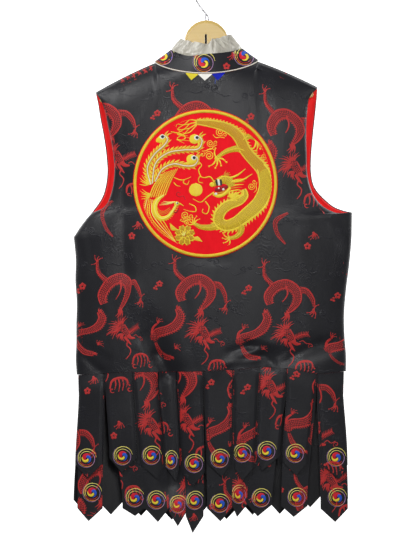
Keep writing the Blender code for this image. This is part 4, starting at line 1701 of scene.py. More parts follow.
@dataclass(frozen=True)
class BodyThreads:
    """The threads of a scaled body, how high its middle stands, and -1 if the spines are inside."""

    scales: Thread
    line: Thread
    height: float
    spines: float = 1.0


WOVEN_BODY = BodyThreads(RED_SCALES, RED_FIGURE, 0.25, -1.0)
STITCHED_BODY = BodyThreads(GOLD_SCALES, GOLD_BRIGHT, 1.0)
STITCHED_TAIL = BodyThreads(GOLD_DEEP, GOLD_BRAID, 1.0)


@dataclass
class BrocadeRepeat:
    """The woven figures of one repeat of the brocade: dragons in clouds, blossoms and claws."""

    across: float = 188.0
    up: float = 365.0
    up_shift: float = 17.0
    origin_x: float = -164.9
    origin_z: float = -570.4

    def mesh(self) -> tuple[bpy.types.Mesh, list[Finish]]:
        """Draw the repeat flat, from its upper left corner.

        Returns:
            The flat mesh and its finishes.
        """
        work = Needlework(3.4, 4)
        pen = Pen(work)
        self.fore_part(pen)
        self.hind_part(pen)
        self.head(pen)
        self.small_figures(pen)
        self.clouds(pen)
        return work.mesh("brocade_repeat"), work.finishes

    def fore_part(self, pen: Pen) -> None:
        """The arched fore part of the dragon, with an arm on each side.

        Args:
            pen: What it is drawn with.
        """
        arch = (
            (110, -104),
            (106, -86),
            (121, -64),
            (144, -57),
            (164, -70),
            (170, -90),
            (160, -110),
            (144, -126),
        )
        scaled_body(pen, arch, (13, 19, 21, 21, 21, 19, 12, 3), -1.0, WOVEN_BODY)
        pen.stroke(((118, -64), (104, -52), (96, -40), (95, -23)), (13, 10, 8, 5), RED_SCALES, 0.3, 0.05)
        pen.stroke(((116, -62), (101, -50), (93.5, -38), (93, -24)), (2.5, 3, 2), RED_FIGURE, 0.3, 0.2)
        claw(pen, 94.5, -20.0, (205.0, 110.0, 74.0, 35.0), 13.0, RED_FIGURE)
        pen.stroke(((172, -68), (189, -70), (202, -84), (207, -102)), (15, 13, 9, 5), RED_SCALES, 0.3)
        pen.stroke(((176, -63), (191, -65), (205, -81), (209, -100)), (2, 3, 2), RED_FIGURE, 0.3, 0.2)
        claw(pen, 207.0, -106.0, (52.0, 212.0, 236.0, 258.0, 284.0), 15.0, RED_FIGURE)
        pen.stroke(((142, -60), (146, -76), (143, -88), (136, -98)), (4.5, 3.0, 1.5), RED_FIGURE, 0.3, 0.2)
        pen.fan(150.0, -118.0, (232.0, 246.0, 262.0, 278.0), 22.0, 3.4, RED_FIGURE, 0.12)

    def hind_part(self, pen: Pen) -> None:
        """The hind part with its haunch, a raised foot and the tail.

        Args:
            pen: What it is drawn with.
        """
        back = ((100, -120), (107, -136), (98, -156), (80, -167), (60, -174), (50, -187))
        scaled_body(pen, back, (9, 17, 20, 18, 19, 13), 1.0, WOVEN_BODY)
        pen.fan(102.0, -122.0, (60.0, 95.0, 30.0), 9.0, 3.0, RED_FIGURE)
        pen.dot(54.0, -182.0, 10.0, RED_SCALES, 0.3, 0.1)
        pen.stroke(((49, -176), (51, -163), (59, -155)), (7, 5, 4), RED_FIGURE, 0.3, 0.1)
        claw(pen, 61.0, -153.0, (20.0, 48.0, 76.0, 104.0), 11.0, RED_FIGURE)
        tail = ((57, -194), (64, -209), (76, -221), (94, -225))
        scaled_body(pen, tail, (5, 9, 11, 9), 1.0, WOVEN_BODY)
        pen.fan(93.0, -225.0, (-22.0, 2.0, 28.0), 8.0, 3.0, RED_FIGURE)

    def head(self, pen: Pen) -> None:
        """The head, with its mane, fin, horns and whiskers.

        Args:
            pen: What it is drawn with.
        """
        for shift, length, width in ((0.0, 31.0, 2.5), (8.0, 23.0, 2.1)):
            angles = [138.0 + shift + 15.5 * step for step in range(7)]
            pen.fan(150.0, -166.0, angles, length, width, RED_FIGURE, -0.16)
        pen.fan(152.0, -158.0, (48.0, 63.0, 78.0, 93.0, 108.0, 123.0, 138.0), 21.0, 2.6, RED_FIGURE, 0.14)
        pen.fan(154.0, -178.0, (204.0, 222.0, 240.0, 258.0, 276.0), 17.0, 3.0, RED_FIGURE, -0.2)
        fin = ((168, -175), (182, -167), (198, -161))
        pen.stroke(fin, (3.0, 2.6, 1.2), RED_FIGURE)
        for side in (1.0, -1.0):
            pen.barbs(fin, 3.6, 8.5, 2.1, RED_FIGURE, side, -30.0)
        pen.dot(152.0, -163.0, 10.0, RED_SCALES, 0.35, 0.1)
        pen.stroke(((152, -163), (160, -175), (167, -186)), (15, 14, 9), RED_SCALES, 0.35, 0.1)
        pen.spiral(151.0, -162.0, 8.0, 1.3, 1.6, RED_FIGURE, 40.0)
        pen.stroke(((158, -156), (165, -168), (171, -184)), (2.0, 3, 2.4), RED_FIGURE, 0.3, 0.3)
        pen.stroke(((160, -178), (171, -187), (182, -188)), (8, 8, 3), RED_FIGURE, 0.35, 0.2)
        pen.stroke(((156, -184), (163, -195), (170, -204)), (6, 6, 2), RED_FIGURE, 0.35, 0.2)
        horn = ((150, -160), (139, -171), (128, -173), (118, -181))
        pen.stroke(horn, (4, 4, 3, 1), RED_FIGURE, 0.35, 0.3)
        pen.dot(158.0, -167.0, 3.2, BLACK_THREAD, 0.3, 0.5)
        pen.dot(158.4, -167.0, 1.5, RED_FIGURE, 0.3, 0.8)
        pen.stroke(((178, -184), (186, -180), (194, -186), (203, -183)), (1.8, 1.8, 1.6), RED_FIGURE)
        pen.spiral(204.0, -190.0, 6.5, 1.1, 1.6, RED_FIGURE, 200.0)
        whisker = ((163, -197), (160, -206), (168, -216), (165, -228), (157, -237))
        pen.stroke(whisker, (3, 2.4, 2.4, 2, 1.4), RED_FIGURE)

    def small_figures(self, pen: Pen) -> None:
        """Blossoms, loose claws and the wave between the dragons.

        Args:
            pen: What it is drawn with.
        """
        plum(pen, 65.0, -69.0, 7.0, RED_FIGURE, BLACK_THREAD)
        for x, z in ((57.0, -75.0), (53.0, -79.0), (58.0, -80.5)):
            pen.dot(x, z, 2.6, RED_FIGURE)
        plum(pen, 173.0, -346.0, 7.5, RED_FIGURE, BLACK_THREAD)
        claw(pen, 103.0, -204.0, (14.0, 44.0, 72.0, 104.0, -24.0), 10.0, RED_FIGURE)
        claw(pen, 186.0, -318.0, (222.0, 246.0, 268.0, 290.0, 314.0), 14.0, RED_FIGURE)
        crest = ((171, -248), (176, -232), (190, -226), (205, -229), (213, -243))
        pen.stroke(crest, (3, 5, 5, 3), RED_FIGURE)
        for x, length in ((182.0, 22.0), (190.0, 27.0), (198.0, 25.0), (206.0, 18.0)):
            curl = ((x, -228.0), (x + 2.0, -228.0 - length * 0.5), (x - 1.0, -228.0 - length))
            pen.stroke(curl, (3.0, 2.6, 1.4), RED_FIGURE)
        pen.spiral(176.0, -251.0, 6.0, 0.8, 2.6, RED_FIGURE, 20.0)
        pen.spiral(212.0, -250.0, 6.0, 0.8, 2.6, RED_FIGURE, 60.0)
        wave = ((136, -268), (116, -281), (103, -300), (107, -322), (124, -341))
        scaled_body(pen, wave, (4, 8, 10, 8, 3), 1.0, WOVEN_BODY)

    def clouds(self, pen: Pen) -> None:
        """Tone-on-tone clouds, which show only in their gloss.

        Args:
            pen: What it is drawn with.
        """
        for x, z, size, flip in CLOUDS:
            spot = pen.at(x, z, 0.0, size, flip)
            for reach, start in ((10.0, 200.0), (7.0, 80.0)):
                spot.spiral(reach, 0.0, reach, 1.3, 2.4, BLACK_THREAD, start)
                spot.spiral(-reach * 0.9, 4.0, reach * 0.8, 1.2, 2.2, BLACK_THREAD, start - 60.0)
            tail = ((-16.0, -6.0), (-30.0, -10.0), (-44.0, -5.0), (-58.0, -11.0))
            spot.stroke(tail, (3.4, 3.0, 2.4, 1.2), BLACK_THREAD, 0.2)
            spot.stroke(((14.0, -8.0), (28.0, -13.0), (40.0, -8.0)), (3.0, 2.4, 1.2), BLACK_THREAD, 0.2)

    def spread(self, pattern: bpy.types.Mesh, box: tuple[float, float, float, float]) -> bmesh.types.BMesh:
        """Copies of the repeat that cover a box, cut off at its sides.

        Args:
            pattern: The repeat's mesh.
            box: Left, right, bottom and top.

        Returns:
            The copies, flat.
        """
        left, right, bottom, top = box
        bm = bmesh.new()
        for column in range(-3, 4):
            for row in range(-2, 3):
                x = self.origin_x + column * self.across + row * self.up_shift
                z = self.origin_z + row * self.up
                if x > right or x + 1.3 * self.across < left or z < bottom or z - 1.05 * self.up > top:
                    continue
                before = len(bm.verts)
                bm.from_mesh(pattern)
                bm.verts.ensure_lookup_table()
                bmesh.ops.translate(bm, vec=(x, 0.0, z), verts=bm.verts[before:])
        cut_to_box(bm, box)
        return bm


CLOUDS = (
    (30.0, -110.0, 1.0, 1.0),
    (20.0, -240.0, 0.9, -1.0),
    (140.0, -290.0, 1.0, 1.0),
    (60.0, -30.0, 0.9, -1.0),
    (60.0, -320.0, 1.0, 1.0),
    (178.0, -140.0, 0.8, 1.0),
    (20.0, -180.0, 0.7, 1.0),
    (170.0, -20.0, 1.0, 1.0),
)


SHOULDER_BITS = (
    (-177.0, -214.0),
    (-166.0, -208.0),
    (-153.0, -204.0),
    (-142.0, -199.0),
    (-129.0, -195.0),
    (-117.0, -189.0),
)
# Where the folds of the back carry the woven figures: x, z, and how far in x and in z
BACK_DRIFT = (
    (-261.0, -581.0, 30.0, -5.6),
    (-214.0, -617.0, 32.0, -2.0),
    (-147.0, -684.0, 9.4, 4.0),
    (-104.0, -641.0, 0.0, -2.0),
    (-250.0, -686.0, 28.0, -11.0),
    (-201.0, -733.0, 26.0, 0.0),
    (-256.0, -795.0, 22.0, 7.0),
    (-196.0, -806.0, 30.0, 9.0),
    (-160.0, -812.0, 25.0, 10.0),
    (-72.0, -579.0, 4.0, -4.0),
    (-25.0, -615.0, 9.0, -4.0),
    (-61.0, -680.0, 3.0, -3.0),
    (-113.0, -752.0, 0.0, 0.0),
    (-66.0, -795.0, -5.0, -2.0),
    (-14.0, -733.0, 4.0, -4.0),
    (117.0, -581.0, 4.0, -11.0),
    (164.0, -615.0, 2.0, -17.0),
    (130.0, -675.0, 0.0, -8.0),
    (228.0, -684.0, -6.0, -15.0),
    (87.0, -641.0, 0.0, -11.0),
    (275.0, -641.0, 0.0, -28.0),
    (85.0, -718.0, -8.0, -17.0),
    (72.0, -752.0, -6.0, -6.0),
    (123.0, -795.0, -11.0, 0.0),
    (177.0, -737.0, -6.0, -10.0),
    (192.0, -786.0, -8.0, -8.0),
    (217.0, -806.0, -10.0, -6.0),
    (275.0, -716.0, -11.0, -36.0),
    (214.0, -551.0, -2.0, -11.0),
    (134.0, -240.0, -11.0, -9.0),
    (183.0, -249.0, -17.0, -28.0),
    (144.0, -313.0, -9.0, -22.0),
    (187.0, -369.0, -9.0, -24.0),
    (205.0, -422.0, -15.0, -24.0),
    (104.0, -274.0, -13.0, -19.0),
    (213.0, -446.0, -2.0, -19.0),
    (-54.0, -213.0, -18.8, -7.5),
    (-8.0, -248.0, -14.0, -7.0),
    (-158.0, -277.0, -21.0, -11.0),
    (-132.0, -312.0, -23.0, -9.0),
    (-88.0, -274.0, -20.0, -11.0),
    (-168.0, -371.0, -6.0, 0.0),
    (-164.0, -550.0, 6.0, 11.0),
)
DRIFT_REACH = 45.0


def carried_by_folds(places: Array) -> Array:
    """Where the folds of the back carry flat figures.

    Args:
        places: Rows of x, height and z.

    Returns:
        The moved places.
    """
    drift = np.array(BACK_DRIFT)
    away = np.square(places[:, None, ::2] - drift[None, :, :2]).sum(axis=-1)
    weights = np.exp(-away / DRIFT_REACH**2)
    moves = weights @ drift[:, 2:] / (weights.sum(axis=-1, keepdims=True) + 0.02)
    return places + np.stack([moves[:, 0], np.zeros(len(moves)), moves[:, 1]], axis=-1)


def cut_to_box(bm: bmesh.types.BMesh, box: tuple[float, float, float, float]) -> None:
    """Cut away what lies outside a box, given by its left, right, bottom and top.

    Args:
        bm: The bmesh to change.
        box: Its left, right, bottom and top.
    """
    left, right, bottom, top = box
    cut_off(bm, (left, 0.0, 0.0), (-1.0, 0.0, 0.0))
    cut_off(bm, (right, 0.0, 0.0), (1.0, 0.0, 0.0))
    cut_off(bm, (0.0, 0.0, bottom), (0.0, 0.0, -1.0))
    cut_off(bm, (0.0, 0.0, top), (0.0, 0.0, 1.0))


def cut_off(bm: bmesh.types.BMesh, place: Sequence[float], direction: Sequence[float]) -> None:
    """Cut away what lies beyond a plane.

    Args:
        bm: The bmesh to change.
        place: Where it stands.
        direction: The way that is cut away.
    """
    parts = bm.verts[:] + bm.edges[:] + bm.faces[:]
    plane = {"plane_co": place, "plane_no": direction}
    bmesh.ops.bisect_plane(bm, geom=parts, dist=0.0001, clear_outer=True, **plane)


@dataclass
class WovenFigures:
    """The brocade's figures on the panels and the strips."""

    repeat: BrocadeRepeat
    inset: float = 0.8
    room: float = 45.0

    def __post_init__(self) -> None:
        """Draw the repeat once."""
        self.pattern, self.finishes = self.repeat.mesh()

    def on_panel(
        self,
        wardrobe: Wardrobe,
        name: str,
        ground: Ground,
        box: tuple[float, float, float, float],
        bare: Callable[[Array], Array] | None = None,
        carry: Callable[[Array], Array] | None = None,
    ) -> bpy.types.Object:
        """Lay the figures on a panel.

        Args:
            wardrobe: Makes the piece.
            name: The piece's name.
            ground: The panel's outer face.
            box: Left, right, bottom and top of the cloth.
            bare: Says which flat places stay bare.
            carry: Moves the flat figures before they are laid.

        Returns:
            The piece.
        """
        left, right, bottom, top = box
        room = self.room if carry else 0.0
        bm = self.repeat.spread(self.pattern, (left - room, right + room, bottom - room, top + room))
        if carry is not None:
            for vert, place in zip(bm.verts, carry(np.array([vert.co[:] for vert in bm.verts]))):
                vert.co = place
            cut_to_box(bm, box)
        flat = np.array([vert.co[:] for vert in bm.verts])
        if bare is not None:
            hidden = bare(flat)
            off = [face for face in bm.faces if all(hidden[vert.index] for vert in face.verts)]
            bmesh.ops.delete(bm, geom=off, context="FACES")
        laid_on(bm, ground)
        return wardrobe.dress(name, mesh_from(name, bm), self.finishes, sharp=180.0)

    def on_strip(self, lane: Lane, bend: Place, cut: tuple[float, float]) -> bmesh.types.BMesh:
        """Lay the figures on a strip.

        Args:
            lane: The strip's outline.
            bend: The strip's bending function.
            cut: Place of the pattern, from the repeat's corner, that lies at the strip's top middle.

        Returns:
            The figures on the strip.
        """
        width, length = lane_size(lane)
        x = self.repeat.origin_x + cut[0]
        z = self.repeat.origin_z + cut[1]
        half = width / 2.0 - self.inset
        bm = self.repeat.spread(self.pattern, (x - half, x + half, z - length, z))
        flat_x, height, flat_z = np.array([vert.co[:] for vert in bm.verts]).T
        across = (flat_x - x) / width + 0.5
        up = 1.0 - (z - flat_z) / lane_length(lane, across)
        for vert, place in zip(bm.verts, np.stack([across, up, height], axis=-1)):
            vert.co = place
        return bend_over(bm, bend)


def laid_on(bm: bmesh.types.BMesh, ground: Ground) -> bmesh.types.BMesh:
    """Lay flat ribbons on a piece, and drop what lies past its edge.

    Args:
        bm: The bmesh to change.
        ground: The piece that it is laid on.

    Returns:
        The same bmesh.
    """
    bm.verts.index_update()
    laid, under = ground.lay(np.array([vert.co[:] for vert in bm.verts]))
    off = [face for face in bm.faces if not any(under[vert.index] for vert in face.verts)]
    for vert, place in zip(bm.verts, laid):
        vert.co = place
    bmesh.ops.delete(bm, geom=off, context="FACES")
    if ground.side is Side.FRONT:
        bmesh.ops.reverse_faces(bm, faces=bm.faces)
    return bm


def under_roundel(places: Array) -> Array:
    """Whether flat places lie well under the round applique.

    Args:
        places: Rows of x, height and z.

    Returns:
        True where they do.
    """
    across = (places[:, 0] - ROUNDEL_X) / ROUNDEL_HALF_WIDTH
    up = (places[:, 2] - ROUNDEL_Z) / ROUNDEL_HALF_HEIGHT
    return np.hypot(across, up) < 0.98


def lane_size(lane: Lane) -> tuple[float, float]:
    """Mean width of a strip and its length to the tip."""
    width = (lane.top_right - lane.top_left + lane.foot_right - lane.foot_left) / 2.0
    return width, float(hip_z(np.array(lane.tip_x))) - lane.tip_z


def lane_length(lane: Lane, across: Array) -> Array:
    """Length of a strip at a share across it."""
    top = hip_z(mix(lane.top_left, lane.top_right, across)) - STRIP_GAP
    return top - mix(lane.corner_z, lane.tip_z, 1.0 - np.abs(2.0 * across - 1.0))


def lane_x(lane: Lane, across: Array, fall: Array) -> Array:
    """Where a strip lies for shares across and down it.

    Args:
        lane: The strip's outline.
        across: Shares across.
        fall: Shares down the strip.

    Returns:
        The x of each place.
    """
    top_x = mix(lane.top_left, lane.top_right, across)
    foot_x = mix(lane.foot_left, lane.foot_right, across)
    point = 1.0 - np.abs(2.0 * across - 1.0)
    lean = (lane.tip_x - (lane.foot_left + lane.foot_right) / 2.0) * point
    return mix(top_x, foot_x, smooth(fall)) + lean * smooth((fall - 0.85) / 0.15)


def lane_shares(lane: Lane, x: Array, z: Array) -> tuple[Array, Array]:
    """The shares across and down a strip at which it passes flat places.

    Args:
        lane: The strip's outline.
        x: The x of each place.
        z: The z of each place.

    Returns:
        Shares across and shares down.
    """
    across, fall = np.full_like(x, 0.5), np.full_like(x, 0.9)
    for _ in range(12):
        across = across + (x - lane_x(lane, across, fall)) / (lane.foot_right - lane.foot_left)
        across = np.clip(across, -0.2, 1.2)
        top = hip_z(mix(lane.top_left, lane.top_right, across)) - STRIP_GAP
        fall = (top - z) / lane_length(lane, across)
    return across, fall


def bend_over(bm: bmesh.types.BMesh, bend: Place) -> bmesh.types.BMesh:
    """Cut shares across, shares up and heights off at a strip's edges, and bend them with it.

    Args:
        bm: The bmesh to change.
        bend: The strip's bending function.

    Returns:
        The same bmesh.
    """
    for place, direction in (
        ((0.015, 0.0, 0.0), (-1.0, 0.0, 0.0)),
        ((0.985, 0.0, 0.0), (1.0, 0.0, 0.0)),
        ((0.0, 0.012, 0.0), (0.0, -1.0, 0.0)),
        ((0.0, 0.999, 0.0), (0.0, 1.0, 0.0)),
    ):
        cut_off(bm, place, direction)
    if bm.verts:
        across, up, height = np.array([vert.co[:] for vert in bm.verts]).T
        bent = bend(across, up, 1.0 + height / STRIP_WALL)
        for vert, place in zip(bm.verts, bent):
            vert.co = place
    return bm


def joined(name: str, parts: Sequence[bmesh.types.BMesh]) -> bpy.types.Mesh:
    """Several bmeshes as one mesh.

    Args:
        name: Its name.
        parts: The bmeshes, which are freed.

    Returns:
        The mesh.
    """
    whole = bmesh.new()
    for number, part in enumerate(parts):
        mesh = mesh_from(f"{name}_{number}", part)
        whole.from_mesh(mesh)
        bpy.data.meshes.remove(mesh)
    return mesh_from(name, whole)


CORE_WIDTHS = ((5.5, 9.4, 8.4, 4.6, 1.0), (6.0, 8.4, 6.0, 3.0, 0.8), (3.0, 5.0, 5.0, 3.6, 1.0))


@dataclass
class Medallion:
    """A small embroidered swirl: three drops of thread in a ring of three long arms."""

    radius: float = 19.4
    height: float = 0.7
    turn: float = 0.0

    def draw(self, pen: Pen, narrow: float = 1.0) -> None:
        """Draw it at the pen's origin, perhaps narrowed as on a turned strip.

        Args:
            pen: What it is drawn with.
            narrow: Its width as a share of its height.
        """
        for number, finish in enumerate((RED_THREAD, BLUE_THREAD, YELLOW_THREAD)):
            start = 215.0 + self.turn - 120.0 * number
            self.arc(pen, narrow, start, -175.0, (0.1, 0.22, 0.34, 0.44, 0.5), CORE_WIDTHS[number], finish)
        arms = (
            (8.0, 200.0, (1.06, 1.04, 1.00, 0.95, 0.88), 1.5, PALE_GOLD),
            (120.0, 170.0, (1.07, 1.04, 1.01, 0.97), 0.9, VIOLET_THREAD),
            (200.0, 130.0, (0.87, 0.89, 0.92), 1.5, ORANGE_THREAD),
            (270.0, 150.0, (0.97, 0.92, 0.85, 0.77), 1.3, VIOLET_THREAD),
            (40.0, 170.0, (0.76, 0.75, 0.74, 0.74), 1.3, PALE_GOLD),
            (205.0, 120.0, (0.74, 0.72, 0.70), 1.0, RED_THREAD),
        )
        for start, sweep, reaches, width, finish in arms:
            self.arc(pen, narrow, start, sweep, reaches, (0.6, width, width, width, 0.8), finish)

    def arc(
        self,
        pen: Pen,
        narrow: float,
        start: float,
        sweep: float,
        reaches: Sequence[float],
        widths: Sequence[float],
        finish: Thread,
    ) -> None:
        """A ribbon that winds round the middle.

        Args:
            pen: What it is drawn with.
            narrow: Width of the medallion as a share of its height.
            start: Direction of its first point in degrees.
            sweep: Degrees that it turns.
            reaches: Distances from the middle, as shares of the radius.
            widths: Its widths, spread evenly along it.
            finish: Its thread.
        """
        points = []
        steps = 2 * len(reaches)
        for step in range(steps + 1):
            share = step / steps
            angle = math.radians(start + sweep * share)
            reach = self.radius * float(np.interp(share * (len(reaches) - 1), range(len(reaches)), reaches))
            points.append((reach * math.cos(angle) * narrow, reach * math.sin(angle)))
        pen.stroke(points, widths, finish, self.height)

    def on_strip(
        self, lane: Lane, bend: Place, middle: tuple[float, float]
    ) -> tuple[bmesh.types.BMesh, list[Finish]]:
        """Make one on a strip.

        Args:
            lane: The strip's outline.
            bend: The strip's bending function.
            middle: Its x and z.

        Returns:
            Its ribbons on the strip, and their finishes.
        """
        _, (fall,) = lane_shares(lane, np.array([middle[0]]), np.array([middle[1]]))
        width = mix(lane.top_right - lane.top_left, lane.foot_right - lane.foot_left, smooth(fall))
        work = Needlework(1.6, 3)
        self.draw(Pen(work, *middle), min(1.0, 0.94 * float(width) / (2.0 * self.radius)))
        x, height, z = np.array([vert.co[:] for vert in work.bm.verts]).T
        across, fall = lane_shares(lane, x, z)
        for vert, place in zip(work.bm.verts, np.stack([across, 1.0 - fall, height], axis=-1)):
            vert.co = place
        return bend_over(work.bm, bend), work.finishes


# Pieces


@dataclass
class Body:
    """Back, fronts and the red facings of the fronts' armholes."""

    half_cells: int = 54
    rows: int = 102
    flat_width: float = 600.0
    flat_length: float = 680.0

    def build(self, wardrobe: Wardrobe) -> dict[str, Ground]:
        """Make the panels and facings, and give the grounds to lay trimmings on.

        Args:
            wardrobe: What dresses and keeps each piece.

        Returns:
            The outer faces of the panels, by name.
        """
        span = (self.flat_width, self.flat_length)
        half = (self.flat_width / 2.0, self.flat_length)
        half_cells = (self.half_cells, self.rows)

        def back(across: Array, up: Array, through: Array) -> Array:
            """A place on the back."""
            return BACK.point(2.0 * across - 1.0, up * TOP_ROW, (through - 1.0) * PANEL_WALL)

        def left(across: Array, up: Array, through: Array) -> Array:
            """A place on the left."""
            return FRONT.point(np.minimum(-1e-6, -across), up * TOP_ROW, (through - 1.0) * PANEL_WALL)

        def right(across: Array, up: Array, through: Array) -> Array:
            """A place on the right."""
            return FRONT.point(np.maximum(1e-6, 1.0 - across), up * TOP_ROW, (through - 1.0) * PANEL_WALL)

        finishes = (BLACK_BROCADE, LINING_SATIN)
        grounds = {}
        meshes = {
            "back": (wall_mesh("back", (2 * self.half_cells, self.rows), back, span), Side.BACK),
            "front_left": (wall_mesh("front_left", half_cells, left, half), Side.FRONT),
            "front_right": (wall_mesh("front_right", half_cells, right, half), Side.FRONT),
        }
        for name, (mesh, side) in meshes.items():
            grounds[name] = Ground(mesh, side)
            piece = wardrobe.dress(f"{name}_panel", mesh, finishes, [name])
            width = self.flat_width if side is Side.BACK else self.flat_width / 2.0
            area = width * self.flat_length * 0.84 * MM * MM
            width * MM
        self.add_facings(wardrobe)
        return grounds

    def add_figures(self, wardrobe: Wardrobe, grounds: Mapping[str, Ground], figures: WovenFigures) -> None:
        """Weave the brocade's figures into the panels, and leave the cloth under the applique bare.

        Args:
            wardrobe: What dresses and keeps each piece.
            grounds: The pieces that the figures are laid on, by name.
            figures: The brocade's woven figures.
        """
        low, high = -835.0, -168.0
        box = (-300.0, 308.0, low, high)
        figures.on_panel(wardrobe, "back_figures", grounds["back"], box, under_roundel, carried_by_folds)
        work = Needlework(1.4, 3)
        for number, (x, z) in enumerate(SHOULDER_BITS):
            turn = 28.0 * math.sin(number * 2.3)
            Pen(work, x, z, turn).fan(0.0, 0.0, (60.0, 120.0, 240.0, 310.0), 6.5, 2.4, RED_FIGURE, 0.3)
        mesh = mesh_from("shoulder_figures", laid_on(work.bm, grounds["back"]))
        wardrobe.dress("shoulder_figures", mesh, work.finishes, sharp=180.0)
        figures.on_panel(wardrobe, "front_left_figures", grounds["front_left"], (-300.0, -0.5, low, high))
        figures.on_panel(wardrobe, "front_right_figures", grounds["front_right"], (0.5, 308.0, low, high))

    def add_facings(self, wardrobe: Wardrobe) -> None:
        """The red facings inside the fronts' armholes.

        Args:
            wardrobe: What dresses and keeps each piece.
        """
        outer = -PANEL_WALL - LINING_GAP

        def row_of(up: Array) -> Array:
            """The row of the sections for a share up."""
            return mix(UNDERARM_ROW, LINING_TOP_ROW, up)

        def puckers(across: Array, up: Array) -> Array:
            """Height of the puckers along the seam.

            Args:
                across: Shares across.
                up: Shares up.

            Returns:
                The heights.
            """
            waves = np.sin(across * 14.0 + np.sin(up * 9.0) * 1.6) * 0.35
            waves += np.sin(up * 37.0 + across * 4.0) * 0.18
            return waves * np.sin(np.clip(across, 0.0, 1.0) * math.pi) - 0.55

        def left(across: Array, up: Array, through: Array) -> Array:
            """A place on the left."""
            out = outer + (through - 1.0) * LINING_WALL + puckers(across, up)
            return FRONT.point(mix(LINING_SHARE - 1.0, -1.0, across), row_of(up), out)

        def right(across: Array, up: Array, through: Array) -> Array:
            """A place on the right."""
            out = outer + (through - 1.0) * LINING_WALL + puckers(1.0 - across, up)
            return FRONT.point(mix(1.0, 1.0 - LINING_SHARE, across), row_of(up), out)

        for name, place in (("lining_left", left), ("lining_right", right)):
            mesh = wall_mesh(name, (20, 72), place, (70.0, 290.0))
            finishes = (LINING_SATIN, LINING_SATIN)
            piece = wardrobe.dress(f"{name}_facing", mesh, finishes, [name])


